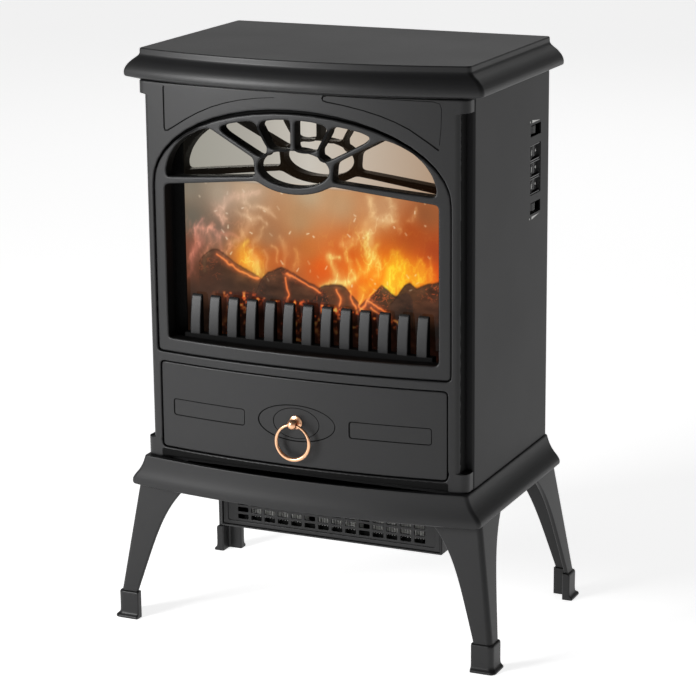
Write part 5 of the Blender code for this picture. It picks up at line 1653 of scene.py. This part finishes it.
def make_gland():
    """The flanged bush that a lead would enter through."""
    low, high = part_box("cable_gland")
    x, z = (low.x + high.x) / 2, (low.z + high.z) / 2
    wide = (high.x - low.x) / 2
    profile = [
        (5.6 * mm, 0.0), (5.85 * mm, 0.03), (5.85 * mm, 0.44), (wide, 0.45), (wide, 0.52),
        (wide * 0.97, 0.6), (6.6 * mm, 0.9), (6.0 * mm, 0.98), (5.4 * mm, 1.0),
    ]
    body = turned(profile, (x, low.y, z), (x, high.y, z), 40)
    profile = [(3.6 * mm, 0), (3.6 * mm, 0.92), (4.4 * mm, 1)]
    bore = turned(profile, (x, low.y - 2 * mm, z), (x, high.y + 0.5 * mm, z), 28)
    put("lead_gland", combined(body, bore), "cable_gland", matte_black_and_painted_shade(), ["cable_gland"])


# ----------------------------------------------------------------------- stage
def make_stage():
    """A pale floor, soft light from the upper left and the camera."""
    studio = bpy.context.scene.stove_studio
    bpy.context.scene.view_settings.view_transform = "Standard"
    world = bpy.data.worlds.new("studio")
    world.use_nodes = True
    tree = world.node_tree
    backing = tree.nodes["Background"]
    backing.inputs["Strength"].default_value = studio.world
    where = add_node(tree, "ShaderNodeTexCoord")
    split = add_node(tree, "ShaderNodeSeparateXYZ")
    ramp = add_node(tree, "ShaderNodeValToRGB")
    stops = ramp.color_ramp.elements
    stops[0].color = (1, 1, 1, 1)
    stops[1].position, stops[1].color = 0.75, (0.05, 0.05, 0.05, 1)
    for position, grey in ((0.12, 0.9), (0.35, 0.45)):
        stops.new(position).color = (grey, grey, grey, 1)
    tree.links.new(where.outputs["Generated"], split.inputs["Vector"])
    tree.links.new(split.outputs["Z"], ramp.inputs["Fac"])
    tree.links.new(ramp.outputs["Color"], backing.inputs["Color"])
    bpy.context.scene.world = world

    work = bmesh.new()
    bmesh.ops.create_circle(work, cap_ends=True, segments=96, radius=30)
    floor = bpy.data.objects.new("floor", to_mesh("floor", work))
    white = textured("floor_white", studio.floor, 0.85, grain=0.02, grain_scale=60.0, mottle=0.004)
    shader = white.node_tree.nodes["Principled BSDF"]
    shader.inputs["Emission Color"].default_value = (1, 1, 1, 1)
    shader.inputs["Emission Strength"].default_value = studio.floor_glow
    floor.data.materials.append(white)
    bpy.context.scene.collection.objects.link(floor)

    def softbox(name, place, target, size, power):
        light = bpy.data.lights.new(name, "AREA")
        light.shape = "RECTANGLE"
        light.size, light.size_y = size
        light.energy = power
        lamp = bpy.data.objects.new(name, light)
        lamp.location = place
        lamp.rotation_euler = (Vector(target) - Vector(place)).to_track_quat("-Z", "Y").to_euler()
        bpy.context.scene.collection.objects.link(lamp)

    aim = (0, 0, 0.3)
    softbox("key_light", (-0.95, -1.3, 0.72), (-0.1, -0.1, 0.5), (0.6, 0.5), studio.key)
    back_share, side_share = 0.25, 0.05  # of the key light's power
    softbox("back_light", (-0.5, 2.6, 1.9), aim, (2.4, 1.2), studio.key * back_share)
    softbox("side_light", (2.6, 0.6, 0.9), aim, (1.0, 1.4), studio.key * side_share)

    azimuth, elevation, roll = math.radians(24.366), math.radians(14.826), -0.00939
    distance = 2.3824
    aim = Vector((0.0006, 0.00675, 0.2543))
    level = math.cos(elevation)
    back = Vector((math.sin(azimuth) * level, -math.cos(azimuth) * level, math.sin(elevation)))
    across = Vector((0, 0, 1)).cross(back).normalized()
    up = back.cross(across)
    turned_across = across * math.cos(roll) + up * math.sin(roll)
    turned_up = up * math.cos(roll) - across * math.sin(roll)
    placed = Matrix((turned_across, turned_up, back)).transposed().to_4x4()
    placed.translation = aim + back * distance
    lens = bpy.data.cameras.new("camera")
    lens.lens = 132.17
    lens.sensor_width = 36
    camera = bpy.data.objects.new("camera", lens)
    camera.matrix_world = placed
    bpy.context.scene.collection.objects.link(camera)
    bpy.context.scene.camera = camera


def dress_cad_nodes():
    """Gives every CAD node that still shows the finish of its slot."""
    for name, node in frame["nodes"].items():
        material = SLOT_FINISH[SLOT_OF[name]]()
        for slot in node.material_slots:
            slot.link = "OBJECT"
            slot.material = material


# ------------------------------------------------------------------- operators
def operator(idname, label, text, *steps):
    """An Operator class that runs some making functions."""

    def execute(self, context):
        for step in steps:
            step()
        return {"FINISHED"}

    return type(
        "STOVE_OT_" + idname,
        (bpy.types.Operator,),
        {"__doc__": text, "bl_idname": "stove." + idname, "bl_label": label, "execute": execute},
    )


OPERATORS = (
    operator("dress_frame", "Dress frame", "Give the CAD pieces their finishes", dress_cad_nodes),
    operator("cornice", "Cornice", "Build the moulded top", make_cornice),
    operator("plinth", "Plinth", "Build the moulded base", make_base),
    operator("cast_front", "Front", "Build the bowed front with its engraved panels", make_front_frame),
    operator("window", "Window", "Build the sunburst window frame", make_window_frame),
    operator("flames", "Flame screen", "Paint and build the flame picture", make_flame_screen),
    operator("grate", "Grate", "Build the grate with its fingers", make_grate),
    operator("drawer", "Drawer front", "Build the drawer's face", make_drawer_front),
    operator("pull", "Drawer pull", "Build the ring, its post and its rosette", make_pull),
    operator("sides", "Side panels", "Build the folded sides", make_side_panels),
    operator(
        "back", "Rear cover", "Build the back, its screws and the lead's gland", make_rear_cover, make_gland
    ),
    operator("legs", "Legs", "Build the legs and their boots", make_legs),
    operator("heater", "Heater", "Build the heater's case, outlet and element", make_heater),
    operator("controls", "Controls", "Build the switches and the dials", make_controls, make_wedges),
    operator("stage", "Studio", "Build the floor, the lights and the camera", make_stage),
)


class STOVE_PT_build(bpy.types.Panel):
    """Buttons and settings for the stove."""

    bl_label = "Stove heater"
    bl_idname = "STOVE_PT_build"
    bl_space_type = "VIEW_3D"
    bl_region_type = "UI"
    bl_category = "Stove"

    def draw(self, context):
        for group in GROUPS:
            owner = getattr(context.scene, group)
            column = self.layout.column()
            for name in owner.__annotations__:
                column.prop(owner, name)
        for made in OPERATORS:
            self.layout.operator(made.bl_idname)


GROUPS = {
    "stove_finish": StoveFinish,
    "stove_shape": StoveShape,
    "stove_flames": FlamePicture,
    "stove_studio": StudioLight,
}
CLASSES = (*GROUPS.values(), *OPERATORS, STOVE_PT_build)


def register():
    for made in CLASSES:
        bpy.utils.register_class(made)
    for name, group in GROUPS.items():
        setattr(bpy.types.Scene, name, PointerProperty(type=group))


def unregister():
    for name in GROUPS:
        delattr(bpy.types.Scene, name)
    for made in reversed(CLASSES):
        bpy.utils.unregister_class(made)


def main():
    register()
    for made in OPERATORS:
        getattr(bpy.ops.stove, made.bl_idname.split(".")[1])()


if __name__ == "__main__":
    main()
